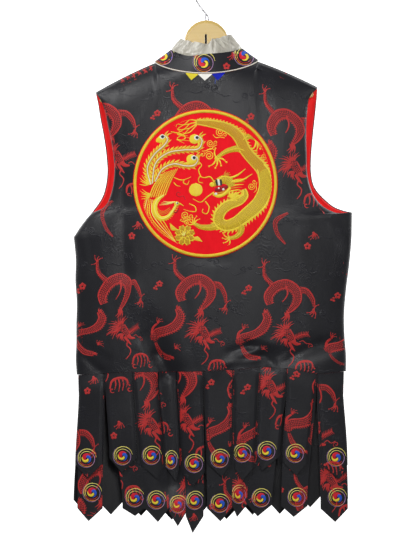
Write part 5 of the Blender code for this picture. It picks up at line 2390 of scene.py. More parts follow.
@dataclass
class Skirt:
    """The four rows of hanging strips."""

    cells: tuple[int, int] = (20, 44)
    overlap: float = 2.6
    stagger: float = 1.5
    rim_start: float = 0.8
    rim_drop: float = 2.2
    drawn_in: float = 1.3

    def front_lanes(self, feet: Sequence[tuple[float, float]]) -> tuple[Lane, ...]:
        """The fronts' strips from an even division of the hip.

        Args:
            feet: Each foot's shift from the middle of its strip, and the z of its tip.

        Returns:
            The strips' outlines, from the left.
        """
        left = SIDES[0].left_x + FRONT_HIP_INSET
        right = SIDES[0].right_x - FRONT_HIP_INSET
        width = (right - left) / len(feet)
        lanes = []
        for index, (shift, tip_z) in enumerate(feet):
            start = left + index * width + FRONT_LANE_GAP / 2.0
            foot = start + (width - FRONT_LANE_GAP) / 2.0 + shift
            lanes.append(
                Lane(
                    start,
                    start + width - FRONT_LANE_GAP,
                    foot - FRONT_FOOT_HALF,
                    foot + FRONT_FOOT_HALF,
                    tip_z + FRONT_POINT,
                    foot,
                    tip_z,
                )
            )
        return tuple(lanes)

    def place(self, panel: Panel, lane: Lane, layer: int, number: int) -> Place:
        """The bending function of one strip, in the outer layer 0 or the inner layer 1.

        Args:
            panel: The panel that the strip hangs from.
            lane: The strip's outline.
            layer: 0 for the outer layer or 1 for the inner one.
            number: The strip's number in its row.

        Returns:
            The function, from shares across, up and through to places.
        """

        def bend(across: Array, up: Array, through: Array) -> Array:
            """A place on the strip.

            Args:
                across: Shares across.
                up: Shares up.
                through: Shares through the wall.

            Returns:
                The places.
            """
            if panel.side is Side.FRONT:
                across = 1.0 - across
            fall = 1.0 - up
            x = lane_x(lane, across, fall)
            top = hip_z(mix(lane.top_left, lane.top_right, across)) - STRIP_GAP
            z = top - fall * lane_length(lane, across)
            spread = layer * (STRIP_WALL + LAYER_GAP + LAYER_SPREAD * smooth(fall * 5.0))
            if layer and number in (2, 4, 6, 8):
                spread = spread + self.stagger
            sway = np.sin(fall * (5.0 + number % 3) + number * 1.7) * 0.8
            cup = np.sin((across - 0.5) * math.pi) ** 2 * np.sin(number * 2.3 + fall * 3.0) * 1.1
            own = (sway + cup) * smooth(fall * 4.0) * 0.6
            rim = smooth((np.abs(across - 0.5) * 2.0 - self.rim_start) / (1.0 - self.rim_start))
            own = own - self.rim_drop * rim * smooth(fall * 5.0) * (1.0 - layer)
            return panel.hang_point(x, z, (through - 1.0) * STRIP_WALL - spread + own)

        return bend

    def build(self, wardrobe: Wardrobe, figures: WovenFigures) -> None:
        """Make every strip, with its figures and medallion.

        Args:
            wardrobe: What dresses and keeps each piece.
            figures: The brocade's woven figures.
        """
        rows = (
            ("back_upper", BACK, BACK_UPPER, 0, UPPER_MEDALLIONS),
            ("back_lower", BACK, BACK_LOWER, 1, LOWER_MEDALLIONS),
            ("front_upper", FRONT, self.front_lanes(FRONT_UPPER_FEET), 0, ()),
            ("front_lower", FRONT, self.front_lanes(FRONT_LOWER_FEET), 1, ()),
        )
        for row, (group, panel, lanes, layer, middles) in enumerate(rows):
            woven, stitched, finishes = [], [], []
            for number, lane in enumerate(lanes, start=1):
                lane = self.widened(lane) if layer else self.narrowed(lane)
                bend = self.place(panel, lane, layer, number)
                self.add_strip(wardrobe, f"strip_{group}_{number}", panel, lane, bend)
                cut = ((number * 67.0 + row * 40.0) % 188.0, -((number * 131.0 + row * 90.0) % 363.0))
                woven.append(figures.on_strip(lane, bend, STRIP_CUTS[number - 1] if row == 0 else cut))
                if middles:
                    swirl, finishes = Medallion().on_strip(lane, bend, middles[number - 1])
                    stitched.append(swirl)
            name = f"{group}_figures"
            wardrobe.dress(name, joined(name, woven), figures.finishes, sharp=180.0)
            if stitched:
                name = f"{group}_medallions"
                wardrobe.dress(name, joined(name, stitched), finishes, sharp=180.0)

    def widened(self, lane: Lane) -> Lane:
        """A strip of the inner layer, whose sides reach behind its neighbours' edges.

        Args:
            lane: The strip's outline.

        Returns:
            The changed outline.
        """
        reach = self.overlap
        return replace(
            lane,
            top_left=lane.top_left - reach,
            top_right=lane.top_right + reach,
            foot_left=lane.foot_left - reach / 2.0,
            foot_right=lane.foot_right + reach / 2.0,
        )

    def narrowed(self, lane: Lane) -> Lane:
        """A strip of the outer layer, a little apart from its neighbours at the foot."""
        left, right = lane.foot_left + self.drawn_in, lane.foot_right - self.drawn_in
        return replace(lane, foot_left=left, foot_right=right)

    def add_strip(self, wardrobe: Wardrobe, name: str, panel: Panel, lane: Lane, bend: Place) -> None:
        """Make one strip's cloth.

        Args:
            wardrobe: What dresses and keeps each piece.
            name: Its name.
            panel: The panel that the strip hangs from.
            lane: The strip's outline.
            bend: The strip's bending function.
        """
        width, length = lane_size(lane)
        mesh = wall_mesh(name, self.cells, bend, (width, length))
        finishes = (BLACK_BROCADE, BLACK_BROCADE)
        piece = wardrobe.dress(f"{name}_cloth", mesh, finishes, [name])
        carrier = "back_panel"
        if panel.side is Side.FRONT:
            carrier = "front_left_panel" if lane.top_left < 0.0 else "front_right_panel"
        width * MM
        length * MM


# Where the brocade was cut for each upper strip of the back, and the middles of the medallions
STRIP_CUTS = (
    (180.0, -312.0),
    (190.0, -215.0),
    (150.0, -60.0),
    (25.0, -120.0),
    (165.0, -68.0),
    (80.0, -45.0),
    (62.0, -30.0),
    (160.0, -130.0),
    (75.0, -60.0),
    (200.0, -40.0),
)
UPPER_MEDALLIONS = (
    (-251.2, -1007.2),
    (-175.4, -1001.9),
    (-114.5, -1000.9),
    (-73.7, -1010.7),
    (-25.2, -1017.7),
    (28.4, -1007.2),
    (75.6, -995.8),
    (126.2, -991.0),
    (185.9, -996.7),
    (272.0, -1005.1),
)
LOWER_MEDALLIONS = (
    (-240.5, -1079.2),
    (-150.2, -1090.3),
    (-104.8, -1094.7),
    (-59.9, -1102.7),
    (-24.2, -1095.4),
    (28.4, -1101.7),
    (68.3, -1082.8),
    (114.9, -1090.5),
    (190.1, -1089.1),
    (275.5, -1089.7),
)
COLLAR_MEDALLIONS = ((-5.3, -178.5), (80.0, -162.6), (-90.6, -161.4))


def ring_places(ring: Ring, angle: Array) -> Array:
    """Places on a ring: the angle runs from the centre front round the wearer's left side.

    Args:
        ring: The ring.
        angle: Angles round the ring in radians.

    Returns:
        The places.
    """
    turn = np.abs(np.sin(angle))
    side = np.cos(angle)
    at_front = np.sin(angle) > 0.0
    depth = np.where(at_front, ring.front_y, -ring.back_y)
    drop = np.where(at_front, ring.front_drop, ring.back_drop)
    z = mix(ring.left_z, ring.right_z, (side + 1.0) / 2.0) - drop * turn ** (2.0 * NECK_DIP)
    return np.stack([ring.half_x * side, depth * turn ** (2.0 * NECK_POINTING), z], axis=-1)


def ring_angle(across: Array) -> Array:
    """Angle of a share round the collar, from one side of its opening to the other."""
    angle = math.pi / 2.0 + across * 2.0 * math.pi
    return np.clip(angle, math.pi / 2.0 + OPENING_ANGLE, math.pi * 2.5 - OPENING_ANGLE)


def seam_line(angle: Array, lift: float) -> Array:
    """A line above the neck edge, lifted more where the edge is steep.

    Args:
        angle: Angles round the ring in radians.
        lift: How far the line lies outside the seam.

    Returns:
        The places.
    """
    run = ring_places(NECK_RING, angle + 0.01) - ring_places(NECK_RING, angle - 0.01)
    steepness = np.linalg.norm(run, axis=-1) / np.hypot(run[..., 0], run[..., 1])
    places = ring_places(NECK_RING, angle)
    places[..., 2] += lift * steepness
    return places


@dataclass
class Collar:
    """Brocade stand collar, its piping and the ivory band that stands up inside it."""

    columns: int = 144
    rows: int = 10
    inner_rows: int = 30
    crease_depth: float = 2.6
    sag: float = 5.6
    sag_x: float = -38.0
    sag_width: float = 25.0
    round_length: float = 470.0

    def foot(self, angle: Array) -> Array:
        """The collar's seam, just above the piping."""
        return seam_line(angle, 2.0 * PIPING_LIFT)

    def top(self, angle: Array) -> Array:
        """The brocade collar's top edge, which sags at the left of the back.

        Args:
            angle: Angles round the ring in radians.

        Returns:
            The places.
        """
        places = ring_places(COLLAR_TOP_RING, angle)
        sag = np.exp(-(((places[..., 0] - self.sag_x) / self.sag_width) ** 2))
        places[..., 2] -= self.sag * sag * smooth(-np.sin(angle) * 3.0)
        return places

    def inner_top(self, angle: Array) -> Array:
        """The ivory band's top edge, crumpled on the back as in the photograph.

        Args:
            angle: Angles round the ring in radians.

        Returns:
            The places.
        """
        places = ring_places(INNER_TOP_RING, angle)
        lift = stepped(IVORY_EDGE, places[..., 0])
        front_lift = np.sin(angle * 9.0) * 1.5 + np.sin(angle * 17.0) * 0.8
        behind = smooth(-np.sin(angle) * 3.0)
        places[..., 2] += mix(front_lift, lift, behind)
        return places

    def band(
        self, rings: Sequence[Callable[[Array], Array]], across: Array, up: Array, out: Array
    ) -> Array:
        """Places at a distance from the band that runs over several rings.

        Args:
            rings: The rings that the band runs over, from the foot up.
            across: Shares across.
            up: Shares up.
            out: Distances from the outer face.

        Returns:
            The places.
        """
        angle = ring_angle(across)
        step = 0.02

        def face(at: Array, height: Array) -> Array:
            """A place on the band's face.

            Args:
                at: Angles round the rings.
                height: How high it stands.

            Returns:
                The places.
            """
            along = height * (len(rings) - 1)
            low = np.clip(along.astype(int), 0, len(rings) - 2)
            share = (along - low)[..., None]
            places = np.array([ring(at) for ring in rings])
            index = np.arange(len(at))
            return mix(places[low, index], places[low + 1, index], share)

        round_step = face(angle + step, up) - face(angle - step, up)
        rise = face(angle, np.minimum(1.0, up + step)) - face(angle, np.maximum(0.0, up - step))
        normal = np.cross(round_step, rise)
        normal[up < 0.001, 2] = 0.0
        normal[(across < 0.001) | (across > 0.999), 0] = 0.0
        return face(angle, up) + unit(normal) * np.asarray(out)[..., None]

    def build(self, wardrobe: Wardrobe, figures: WovenFigures) -> None:
        """Make the collar's pieces.

        Args:
            wardrobe: What dresses and keeps each piece.
            figures: The brocade's woven figures.
        """
        inner_face = -COLLAR_WALL - 0.4

        def outer(across: Array, up: Array, through: Array) -> Array:
            """A place on the brocade collar."""
            ripple = np.sin(across * 41.0) * np.sin(up * math.pi) * 0.4
            return self.band((self.foot, self.top), across, up, (through - 1.0) * COLLAR_WALL + ripple)

        def inner(across: Array, up: Array, through: Array) -> Array:
            """A place on the ivory band.

            Args:
                across: Shares across.
                up: Shares up.
                through: Shares through the wall.

            Returns:
                The places.
            """
            rings = (self.foot, self.top, self.inner_top)
            flare = 3.0 * smooth((up - 0.46) * 6.0)
            bare = self.band(rings, across, up, np.full(len(across), inner_face))
            out = inner_face + flare + (through - 1.0) * INNER_COLLAR_WALL - self.crumple(across, up, bare)
            return self.band(rings, across, up, out)

        span = (self.round_length, 32.0)
        collar_mesh = wall_mesh("collar", (self.columns, self.rows), outer, span)
        ground = Ground(collar_mesh, Side.BACK)
        finishes = (BLACK_BROCADE, BLACK_BROCADE)
        piece = wardrobe.dress("collar_band", collar_mesh, finishes, ["collar"])
        cells = (2 * self.columns, self.inner_rows)
        ivory_mesh = wall_mesh("inner_collar", cells, inner, (self.round_length, 60.0))
        finishes = (IVORY_SATIN, IVORY_SATIN)
        nodes = ["inner_collar"]
        ivory = wardrobe.dress("inner_collar_band", ivory_mesh, finishes, nodes)
        self.add_piping(wardrobe)
        figures.on_panel(wardrobe, "collar_figures", ground, (-104.0, 104.0, -200.0, -140.0))
        self.add_medallions(wardrobe, ground)

    def add_medallions(self, wardrobe: Wardrobe, ground: Ground) -> None:
        """The embroidered swirls on the collar's back.

        Args:
            wardrobe: What dresses and keeps each piece.
            ground: The piece that it is laid on.
        """
        work = Needlework(1.6, 3)
        for x, z in COLLAR_MEDALLIONS:
            Medallion(22.0, turn=78.0).draw(Pen(work, x, z))
        bm = laid_on(work.bm, ground)
        mesh = mesh_from("collar_medallions", bm)
        wardrobe.dress("collar_medallions", mesh, work.finishes, sharp=180.0)

    def crumple(self, across: Array, up: Array, bare: Array) -> Array:
        """Depth of the ivory band's creases, above the brocade collar.

        Args:
            across: Shares across.
            up: Shares up.
            bare: The band's places without creases.

        Returns:
            The depths.
        """
        angle = ring_angle(across)
        free = smooth((up - 0.5) * 4.0)
        in_front = smooth(np.sin(angle) * 3.0)
        creases = np.abs(np.sin(angle * 8.0 + up * 3.0 + np.sin(angle * 3.0))) ** 3 * 2.4 * in_front
        creases += np.sin(angle * 11.0 - up * 5.0 + np.sin(angle * 4.0) * 2.0) * 0.3
        for fold in IVORY_CREASES:
            depth = self.crease_depth * fold_depth(fold, bare[..., 0], bare[..., 2])
            creases += depth * (1.0 - in_front)
        return creases * free

    def add_piping(self, wardrobe: Wardrobe) -> None:
        """The corded piping in the collar's seam.

        Args:
            wardrobe: What dresses and keeps each piece.
        """
        angles = ring_angle(np.linspace(0.0, 1.0, 193))
        route = seam_line(angles, PIPING_LIFT)
        radii = np.full(len(route), PIPING_RADIUS)
        mesh = tube_mesh("collar_piping", route, radii, 12)
        wardrobe.dress("collar_piping_cord", mesh, (PIPING_CORD,), ["collar_piping"])


IVORY_EDGE = (
    (-56.0, 3.0),
    (-44.0, 1.5),
    (-28.0, -0.5),
    (-10.0, -2.5),
    (2.0, -2.5),
    (12.0, 7.0),
    (30.0, 6.0),
    (42.0, 7.5),
    (46.0, 9.0),
    (50.0, 7.5),
    (56.0, 4.0),
)
IVORY_CREASES = (
    Fold(9.0, -129.0, 3.0, -16.0, -156.0, 1.0, 3.0),
    Fold(14.0, -128.0, 3.0, 14.5, -158.0, 1.5, 2.0),
    Fold(18.0, -126.0, 3.0, 40.0, -152.0, 1.2, 2.4),
    Fold(21.0, -122.0, 2.0, 48.0, -144.0, 1.0, 2.4),
    Fold(-29.0, -134.0, 2.6, -48.0, -156.0, 1.2, 3.0),
    Fold(-5.0, -137.0, 1.6, -30.0, -160.0, 1.2, 3.4),
    Fold(-44.0, -130.0, 1.5, -62.0, -150.0, 1.0, 3.0),
    Fold(46.0, -129.0, 2.2, 63.0, -148.0, 1.2, 2.6),
    Fold(34.0, -126.0, -1.6, 54.0, -150.0, -1.0, 3.6),
)


def tube_mesh(name: str, route: Array, radii: Array, sides: int) -> bpy.types.Mesh:
    """A closed round tube along a route.

    Args:
        name: The mesh's name.
        route: Places along it, one row each.
        radii: Its radius at each place.
        sides: How many sides it has.

    Returns:
        The mesh, with a UV map of the turn from 0 to 1 and the length in millimetres.
    """
    bm = bmesh.new()
    steps = len(route) - 1
    bmesh.ops.create_grid(bm, x_segments=sides, y_segments=steps, size=0.5)
    bmesh.ops.translate(bm, vec=(0.5, 0.5, 0.0), verts=bm.verts)
    lengths = np.concatenate([[0.0], np.cumsum(np.linalg.norm(np.diff(route, axis=0), axis=1))])
    weave = bm.loops.layers.uv.new("weave")
    for face in bm.faces:
        for loop in face.loops:
            index = round(loop.vert.co.y * steps)
            loop[weave].uv = (loop.vert.co.x, lengths[index])
    ahead = unit(np.gradient(route, axis=0))
    guide = np.array([0.0, 0.0, 1.0])
    if abs(float(np.mean(np.abs(ahead[:, 2])))) > 0.6:
        guide = np.array([0.0, 1.0, 0.0])
    beside = unit(np.cross(ahead, guide))
    above = np.cross(beside, ahead)
    for vert in bm.verts:
        index = round(vert.co.y * steps)
        angle = vert.co.x * 2.0 * math.pi
        offset = beside[index] * math.cos(angle) + above[index] * math.sin(angle)
        vert.co = Vector(route[index] + offset * radii[index])
    bmesh.ops.remove_doubles(bm, verts=bm.verts, dist=0.001)
    rims = [edge for edge in bm.edges if edge.is_boundary]
    bmesh.ops.holes_fill(bm, edges=rims, sides=0)
    bmesh.ops.recalc_face_normals(bm, faces=bm.faces)
    return mesh_from(name, bm)


def spun_mesh(name: str, profile: Sequence[tuple[float, float]], segments: int) -> bpy.types.Mesh:
    """A disc or ring spun from a profile of radius and height, with a UV map along its turn.

    Args:
        name: Its name.
        profile: Radii and heights of its outline.
        segments: How many cells it has round.

    Returns:
        The mesh.
    """
    bm = bmesh.new()
    verts = [bm.verts.new((radius, 0.0, height)) for radius, height in profile]
    edges = [bm.edges.new(pair) for pair in zip(verts, verts[1:])]
    if profile[0][0] > 0.0:
        edges.append(bm.edges.new((verts[-1], verts[0])))
    bmesh.ops.spin(
        bm,
        geom=verts + edges,
        cent=(0.0, 0.0, 0.0),
        axis=(0.0, 0.0, 1.0),
        angle=2.0 * math.pi,
        steps=segments,
        use_merge=True,
    )
    bmesh.ops.remove_doubles(bm, verts=bm.verts, dist=0.0001)
    bmesh.ops.recalc_face_normals(bm, faces=bm.faces)
    return mesh_from(name, bm)


@dataclass
class Roundel:
    """The round red applique and its gold braid ring."""

    segments: int = 160
    ring_steps: int = 8

    def disc_profile(self) -> list[tuple[float, float]]:
        """Profile of the disc, as shares of its radius and heights above the cloth.

        Returns:
            Radii and heights, from the middle out.
        """
        shares = np.linspace(0.0, 1.0, 41)
        top = [(float(share), ROUNDEL_LIFT) for share in shares[:-1]]
        rim = [(0.996, ROUNDEL_LIFT - 0.1), (1.0, ROUNDEL_LIFT - 0.5), (1.0, 0.1)]
        under = [(float(share), 0.1) for share in shares[-2::-4]]
        return top + rim + under

    def ring_profile(self) -> list[tuple[float, float]]:
        """Profile of the half-round ring.

        Returns:
            Radii and heights, from the middle out.
        """
        middle = 1.0 - RING_INSET / ROUNDEL_HALF_WIDTH
        half = RING_WIDTH / 2.0 / ROUNDEL_HALF_WIDTH
        profile = []
        for step in range(self.ring_steps + 1):
            angle = math.pi * step / self.ring_steps
            height = ROUNDEL_LIFT + 0.1 + RING_HEIGHT * math.sin(angle) ** 0.8
            profile.append((middle - half * math.cos(angle), height))
        return profile

    def laid(self, mesh: bpy.types.Mesh, ground: Ground) -> bpy.types.Mesh:
        """Lay a flat round mesh on the back.

        Args:
            mesh: The mesh to change.
            ground: The piece that it is laid on.

        Returns:
            The mesh.
        """
        across, up, height = places_of(mesh).T
        x = ROUNDEL_X + ROUNDEL_HALF_WIDTH * across
        z = ROUNDEL_Z + ROUNDEL_HALF_HEIGHT * up
        places, _ = ground.lay(np.stack([x, height, z], axis=-1))
        set_places(mesh, places)
        return mesh

    def build(self, wardrobe: Wardrobe, ground: Ground) -> None:
        """Make the disc and the ring on the back.

        Args:
            wardrobe: What dresses and keeps each piece.
            ground: The piece that it is laid on.
        """
        disc = spun_mesh("roundel", self.disc_profile(), self.segments)
        flat_uv(disc, ROUNDEL_HALF_WIDTH)
        disc = self.laid(disc, ground)
        piece = wardrobe.dress("roundel_cloth", disc, (ROUNDEL_SATIN,), ["roundel"])
        ring = spun_mesh("roundel_ring", self.ring_profile(), self.segments)
        turn_uv(ring, ROUNDEL_HALF_WIDTH)
        ring = self.laid(ring, ground)
        wardrobe.dress("roundel_ring_braid", ring, (GOLD_BRAID,), ["roundel_ring"], sharp=80.0)


def flat_uv(mesh: bpy.types.Mesh, scale: float) -> None:
    """A UV map straight from above, in millimetres.

    Args:
        mesh: The mesh to change.
        scale: Millimetres to a unit of the mesh.
    """
    layer = mesh.uv_layers.new(name="weave")
    places = places_of(mesh)
    for loop in mesh.loops:
        x, y, _ = places[loop.vertex_index]
        layer.data[loop.index].uv = (x * scale, y * scale)


def turn_uv(mesh: bpy.types.Mesh, scale: float) -> None:
    """A UV map of the distance out and the length round, in millimetres, with no jump in a face.

    Args:
        mesh: The mesh to change.
        scale: Millimetres to a unit of the mesh.
    """
    layer = mesh.uv_layers.new(name="weave")
    places = places_of(mesh)
    for face in mesh.polygons:
        middle = math.atan2(face.center.y, face.center.x)
        for index in face.loop_indices:
            x, y, _ = places[mesh.loops[index].vertex_index]
            angle = math.atan2(y, x)
            angle += round((middle - angle) / (2.0 * math.pi)) * 2.0 * math.pi
            layer.data[index].uv = ((math.hypot(x, y) - 1.0) * scale, angle * scale)


@dataclass
class RoundelEmbroidery:
    """The traditional pair on the applique: a dragon on the right and a phoenix on the left."""

    lift: float = ROUNDEL_LIFT
    edge: float = 137.0

    def build(self, wardrobe: Wardrobe, ground: Ground) -> bpy.types.Object:
        """Stitch the whole design on the applique.

        Args:
            wardrobe: What dresses and keeps each piece.
            ground: The piece that it is laid on.

        Returns:
            The finished piece.
        """
        work = Needlework(2.4, 4)
        pen = Pen(work)
        self.clouds(pen)
        self.dragon_limbs(pen)
        self.dragon_body(pen)
        self.dragon_head(pen)
        self.phoenix_tail(pen)
        self.phoenix_body(pen)
        self.plumes(pen)
        self.flower_and_pearl(pen)
        for vert in work.bm.verts:
            reach = math.hypot(vert.co.x, vert.co.z)
            pull = 1.0 if reach < self.edge else (self.edge + 0.2 * (reach - self.edge)) / reach
            vert.co = (vert.co.x * pull + ROUNDEL_X, vert.co.y + self.lift, vert.co.z * pull + ROUNDEL_Z)
        mesh = mesh_from("roundel_embroidery", laid_on(work.bm, ground))
        return wardrobe.dress("roundel_embroidery", mesh, work.finishes, sharp=180.0)

    def dragon_body(self, pen: Pen) -> None:
        """The long body, from the neck round the right side to the tail.

        Args:
            pen: What it is drawn with.
        """
        tail = ((123, 22), (114, 36), (101, 49), (83, 70), (71, 95), (52, 113), (20, 124), (-18, 129))
        scaled_body(pen, tail, (28, 27, 25, 24, 24, 22, 18, 12), 1.0, STITCHED_TAIL)
        body = (
            (80, -12),
            (83, -25),
            (70, -37),
            (48, -45),
            (31, -60),
            (28, -78),
            (42, -88),
            (64, -82),
            (90, -62),
            (115, -38),
            (127, -6),
            (122, 24),
            (115, 35),
        )
        widths = (9, 14, 18, 21, 23, 24, 24, 26, 29, 31, 31, 28, 20)
        scaled_body(pen, body, widths, 1.0, STITCHED_BODY)
        for number in range(7):
            spread = 6.0 * number
            wave = 2.4 if number % 2 else -2.0
            hair = (
                (-18.0, 132.0 - 1.6 * number),
                (-32.0, 135.0 - 0.7 * spread + wave),
                (-45.0, 130.0 - 0.8 * spread - wave),
                (-58.0, 127.0 - 0.9 * spread + wave),
                (-70.0 + 1.4 * spread, 124.0 - spread),
            )
            pen.stroke(hair, (2.2, 1.9, 1.7, 1.4, 0.5), GOLD_BRIGHT, 0.8)

    def dragon_limbs(self, pen: Pen) -> None:
        """The four legs with their claws.

        Args:
            pen: What it is drawn with.
        """
        legs = (
            (
                ((78, 92), (92, 99), (106, 93)),
                (13, 11, 8),
                (-18.0, -42.0, -66.0, -90.0, -115.0),
                25.0,
            ),
            (
                ((84, 68), (68, 73), (52, 70), (38, 64), (23, 53)),
                (15, 14, 11, 9, 7),
                (95.0, -22.0, -58.0, -96.0, -132.0),
                21.0,
            ),
            (
                ((34, -82), (14, -91), (-8, -91), (-23, -84)),
                (16, 14, 10, 7),
                (42.0, 74.0, 106.0, 140.0, 178.0),
                15.0,
            ),
            (
                ((68, -76), (74, -90), (72, -104), (61, -112), (50, -114)),
                (20, 16, 12, 9, 7),
                (96.0, 140.0, 180.0, 220.0, 262.0),
                16.0,
            ),
        )
        for points, widths, angles, reach in legs:
            pen.stroke(points, widths, GOLD_SCALES, 0.9)
            line = [(x, z) for x, z in points]
            pen.stroke(line, (1.6, 1.4), GOLD_BRIGHT, 0.4, 0.8)
            x, z = points[-1]
            claw(pen, float(x), float(z), angles, reach, GOLD_BRIGHT)

    def dragon_head(self, pen: Pen) -> None:
        """The head, turned to the pearl, with its mane, horns, whiskers and open mouth.

        Args:
            pen: What it is drawn with.
        """
        for number in range(9):
            drop = 6.0 * number
            hair = ((46.0, 2.0 - 0.8 * drop), (66.0, 8.0 - 0.9 * drop), (86.0 - 0.5 * drop, 10.0 - drop))
            pen.stroke(hair, (3.0, 2.6, 0.6), ORANGE_THREAD if number % 2 else GOLD_BRIGHT, 0.7, 0.1)
        pen.fan(60.0, -34.0, (30.0, 52.0, 74.0, 96.0, 118.0), 20.0, 6.0, GOLD_BRIGHT, 0.16, 0.8, 0.5)
        horns = (((46, 10), (66, 17), (84, 31)), ((50, 4), (74, 6), (98, 20)))
        for horn in horns:
            pen.stroke(horn, (5, 4, 1), GOLD_BRIGHT, 0.9, 0.5)
        pen.fan(40.0, 12.0, (28.0, 44.0, 60.0, 78.0), 15.0, 3.4, ORANGE_THREAD, 0.1, 0.7, 0.2)
        skull = ((56, -6), (48, 6), (36, 8), (24, 2), (16, -3))
        pen.stroke(skull, (14, 19, 18, 13, 8), GOLD_SCALES, 1.0, 0.4)
        pen.stroke(((52, 12), (40, 15), (28, 10), (17, 4)), (2.4, 3, 2), GOLD_BRIGHT, 0.6, 1.2)
        pen.dot(14.0, -2.0, 5.4, GOLD_BRIGHT, 1.0, 0.6)
        pen.stroke(((20, -13), (33, -12), (47, -6)), (6, 11, 5), DEEP_RED_THREAD, 0.5, 1.0)
        pen.stroke(((16, -22), (28, -26), (42, -20), (52, -8)), (5, 7, 7, 5), GOLD_BRIGHT, 0.9, 0.8)
        pen.stroke(((24, -20), (34, -19), (44, -13)), (3, 4, 2), ORANGE_THREAD, 0.5, 1.2)
        for x, z, radius in ((22.0, -21.5, 3.0), (37.5, -12.0, 2.6), (28.0, -9.5, 1.8)):
            pen.dot(x, z, radius, WHITE_THREAD, 0.6, 1.5)
        for x, lean in ((23.5, 1.5), (28.0, 1.0), (32.5, 0.5)):
            finish = WHITE_THREAD if x == 28.0 else BLACK_THREAD
            pen.stroke(((x - lean, 9.0), (x, 3.0), (x + lean, -4.0)), (3.0, 5.0, 3.6), finish, 0.5, 1.7)
        whiskers = (
            ((18, 4), (10, 14), (-2, 12), (-12, 14), (-14, 4), (-5, 1)),
            ((-10, 15), (-14, 28), (-8, 38), (-14, 46)),
            ((18, -18), (4, -28), (-10, -39), (-26, -32)),
            ((0, -37), (8, -50), (3, -63), (-6, -60), (-5, -53)),
        )
        for whisker in whiskers:
            pen.stroke(whisker, (2.2, 2.2, 1.8, 1.2), GOLD_BRIGHT, 0.8, 0.3)

    def phoenix_tail(self, pen: Pen) -> None:
        """Long tail lines down the left side and the short feathers above them.

        Args:
            pen: What it is drawn with.
        """
        for number in range(6):
            share = number / 5.0
            line = (
                (-121.0 + 16.0 * share, -30.0 - 6.0 * share),
                (-126.0 + 24.0 * share, -62.0 + 2.0 * share),
                (-110.0 + 24.0 * share, -93.0 + 12.0 * share),
                (-58.0 - 4.0 * share, -128.0 + 6.0 * share),
            )
            pen.stroke(line, (1.6, 1.9, 1.9, 1.1), GOLD_BRIGHT if number % 3 else PALE_GOLD, 0.7)
        edge = ((-122, -32), (-127, -60), (-113, -90), (-90, -112))
        pen.barbs(edge, 5.0, 8.0, 1.7, GOLD_BRIGHT, 1.0, -50.0)
        pen.barbs(edge, 6.5, 6.0, 1.2, GOLD_BRAID, -1.0, -50.0, 6.0)
        upper = (96.0, 110.0, 124.0, 138.0, 152.0, 166.0, 182.0)
        pen.fan(-113.0, 0.0, upper, 26.0, 2.4, GOLD_BRIGHT, 0.12, 0.8)
        lower = (150.0, 164.0, 178.0, 192.0, 206.0, 220.0)
        pen.fan(-113.0, -22.0, lower, 22.0, 2.2, GOLD_BRIGHT, 0.12, 0.8)

    def phoenix_body(self, pen: Pen) -> None:
        """The wing, the bowed neck and the small crested head.

        Args:
            pen: What it is drawn with.
        """
        for number in range(8):
            share = number / 7.0
            line = (
                (-118.0 + 34.0 * share, -30.0 + 6.0 * share),
                (-106.0 + 34.0 * share, -2.0 + 8.0 * share),
                (-84.0 + 26.0 * share, 24.0 + 8.0 * share),
            )
            pen.stroke(line, (2.2, 2.6, 1.0), (GOLD_BRIGHT, GOLD_BRAID)[number % 2], 0.8, 0.1)
            pen.barbs(line, 6.0, 3.4, 1.0, ORANGE_THREAD, 1.0, -50.0)
        breast = ((-110, -40), (-100, -58), (-86, -62), (-72, -54))
        for shift in (-4.0, -1.0, 2.0):
            pen.stroke(breast, (1.6, 1.8, 1.2), ORANGE_THREAD, 0.5, 0.0, shift)
        neck = (
            (-61, -44),
            (-68, -57),
            (-78, -69),
            (-92, -73),
            (-103, -64),
            (-106, -48),
            (-99, -33),
            (-86, -24),
        )
        pen.stroke(neck, (6, 6, 8, 10, 11, 11, 9, 4), GOLD_BRIGHT, 1.2, 0.3)
        pen.stroke(neck, (1.5, 2.5, 2.5, 2.0), PALE_GOLD, 0.6, 1.0)
        pen.barbs(neck, 4.0, 4.0, 1.4, GOLD_BRAID, -1.0, 40.0, 4.0)
        pen.dot(-60.0, -42.0, 5.4, GOLD_BRIGHT, 1.2, 0.5)
        pen.stroke(((-58, -41), (-52, -43), (-45, -47)), (4.5, 3, 0.8), GOLD_BRAID, 0.8, 0.6)
        pen.dot(-59.0, -41.0, 2.7, WHITE_THREAD, 0.5, 1.5)
        pen.dot(-58.4, -41.2, 1.6, BLACK_THREAD, 0.5, 1.9)
        for rise in (0.0, 4.0, 8.0):
            crest = ((-63.0, -38.0), (-78.0, -43.0 + rise * 0.5), (-96.0 + rise, -45.0 + rise))
            pen.stroke(crest, (2.0, 2.0, 0.8), PALE_GOLD, 0.8, 0.4)
        curl = ((-52, -20), (-58, -18), (-60, -24), (-54, -28), (-46, -26), (-42, -34))
        pen.stroke(curl, (1.6, 1.8, 1.4), RED_EDGE)
        pen.stroke(((-56, -52), (-60, -60), (-66, -60), (-64, -54)), (2.4, 2.4, 1.2), RED_EDGE, 0.6, 0.4)

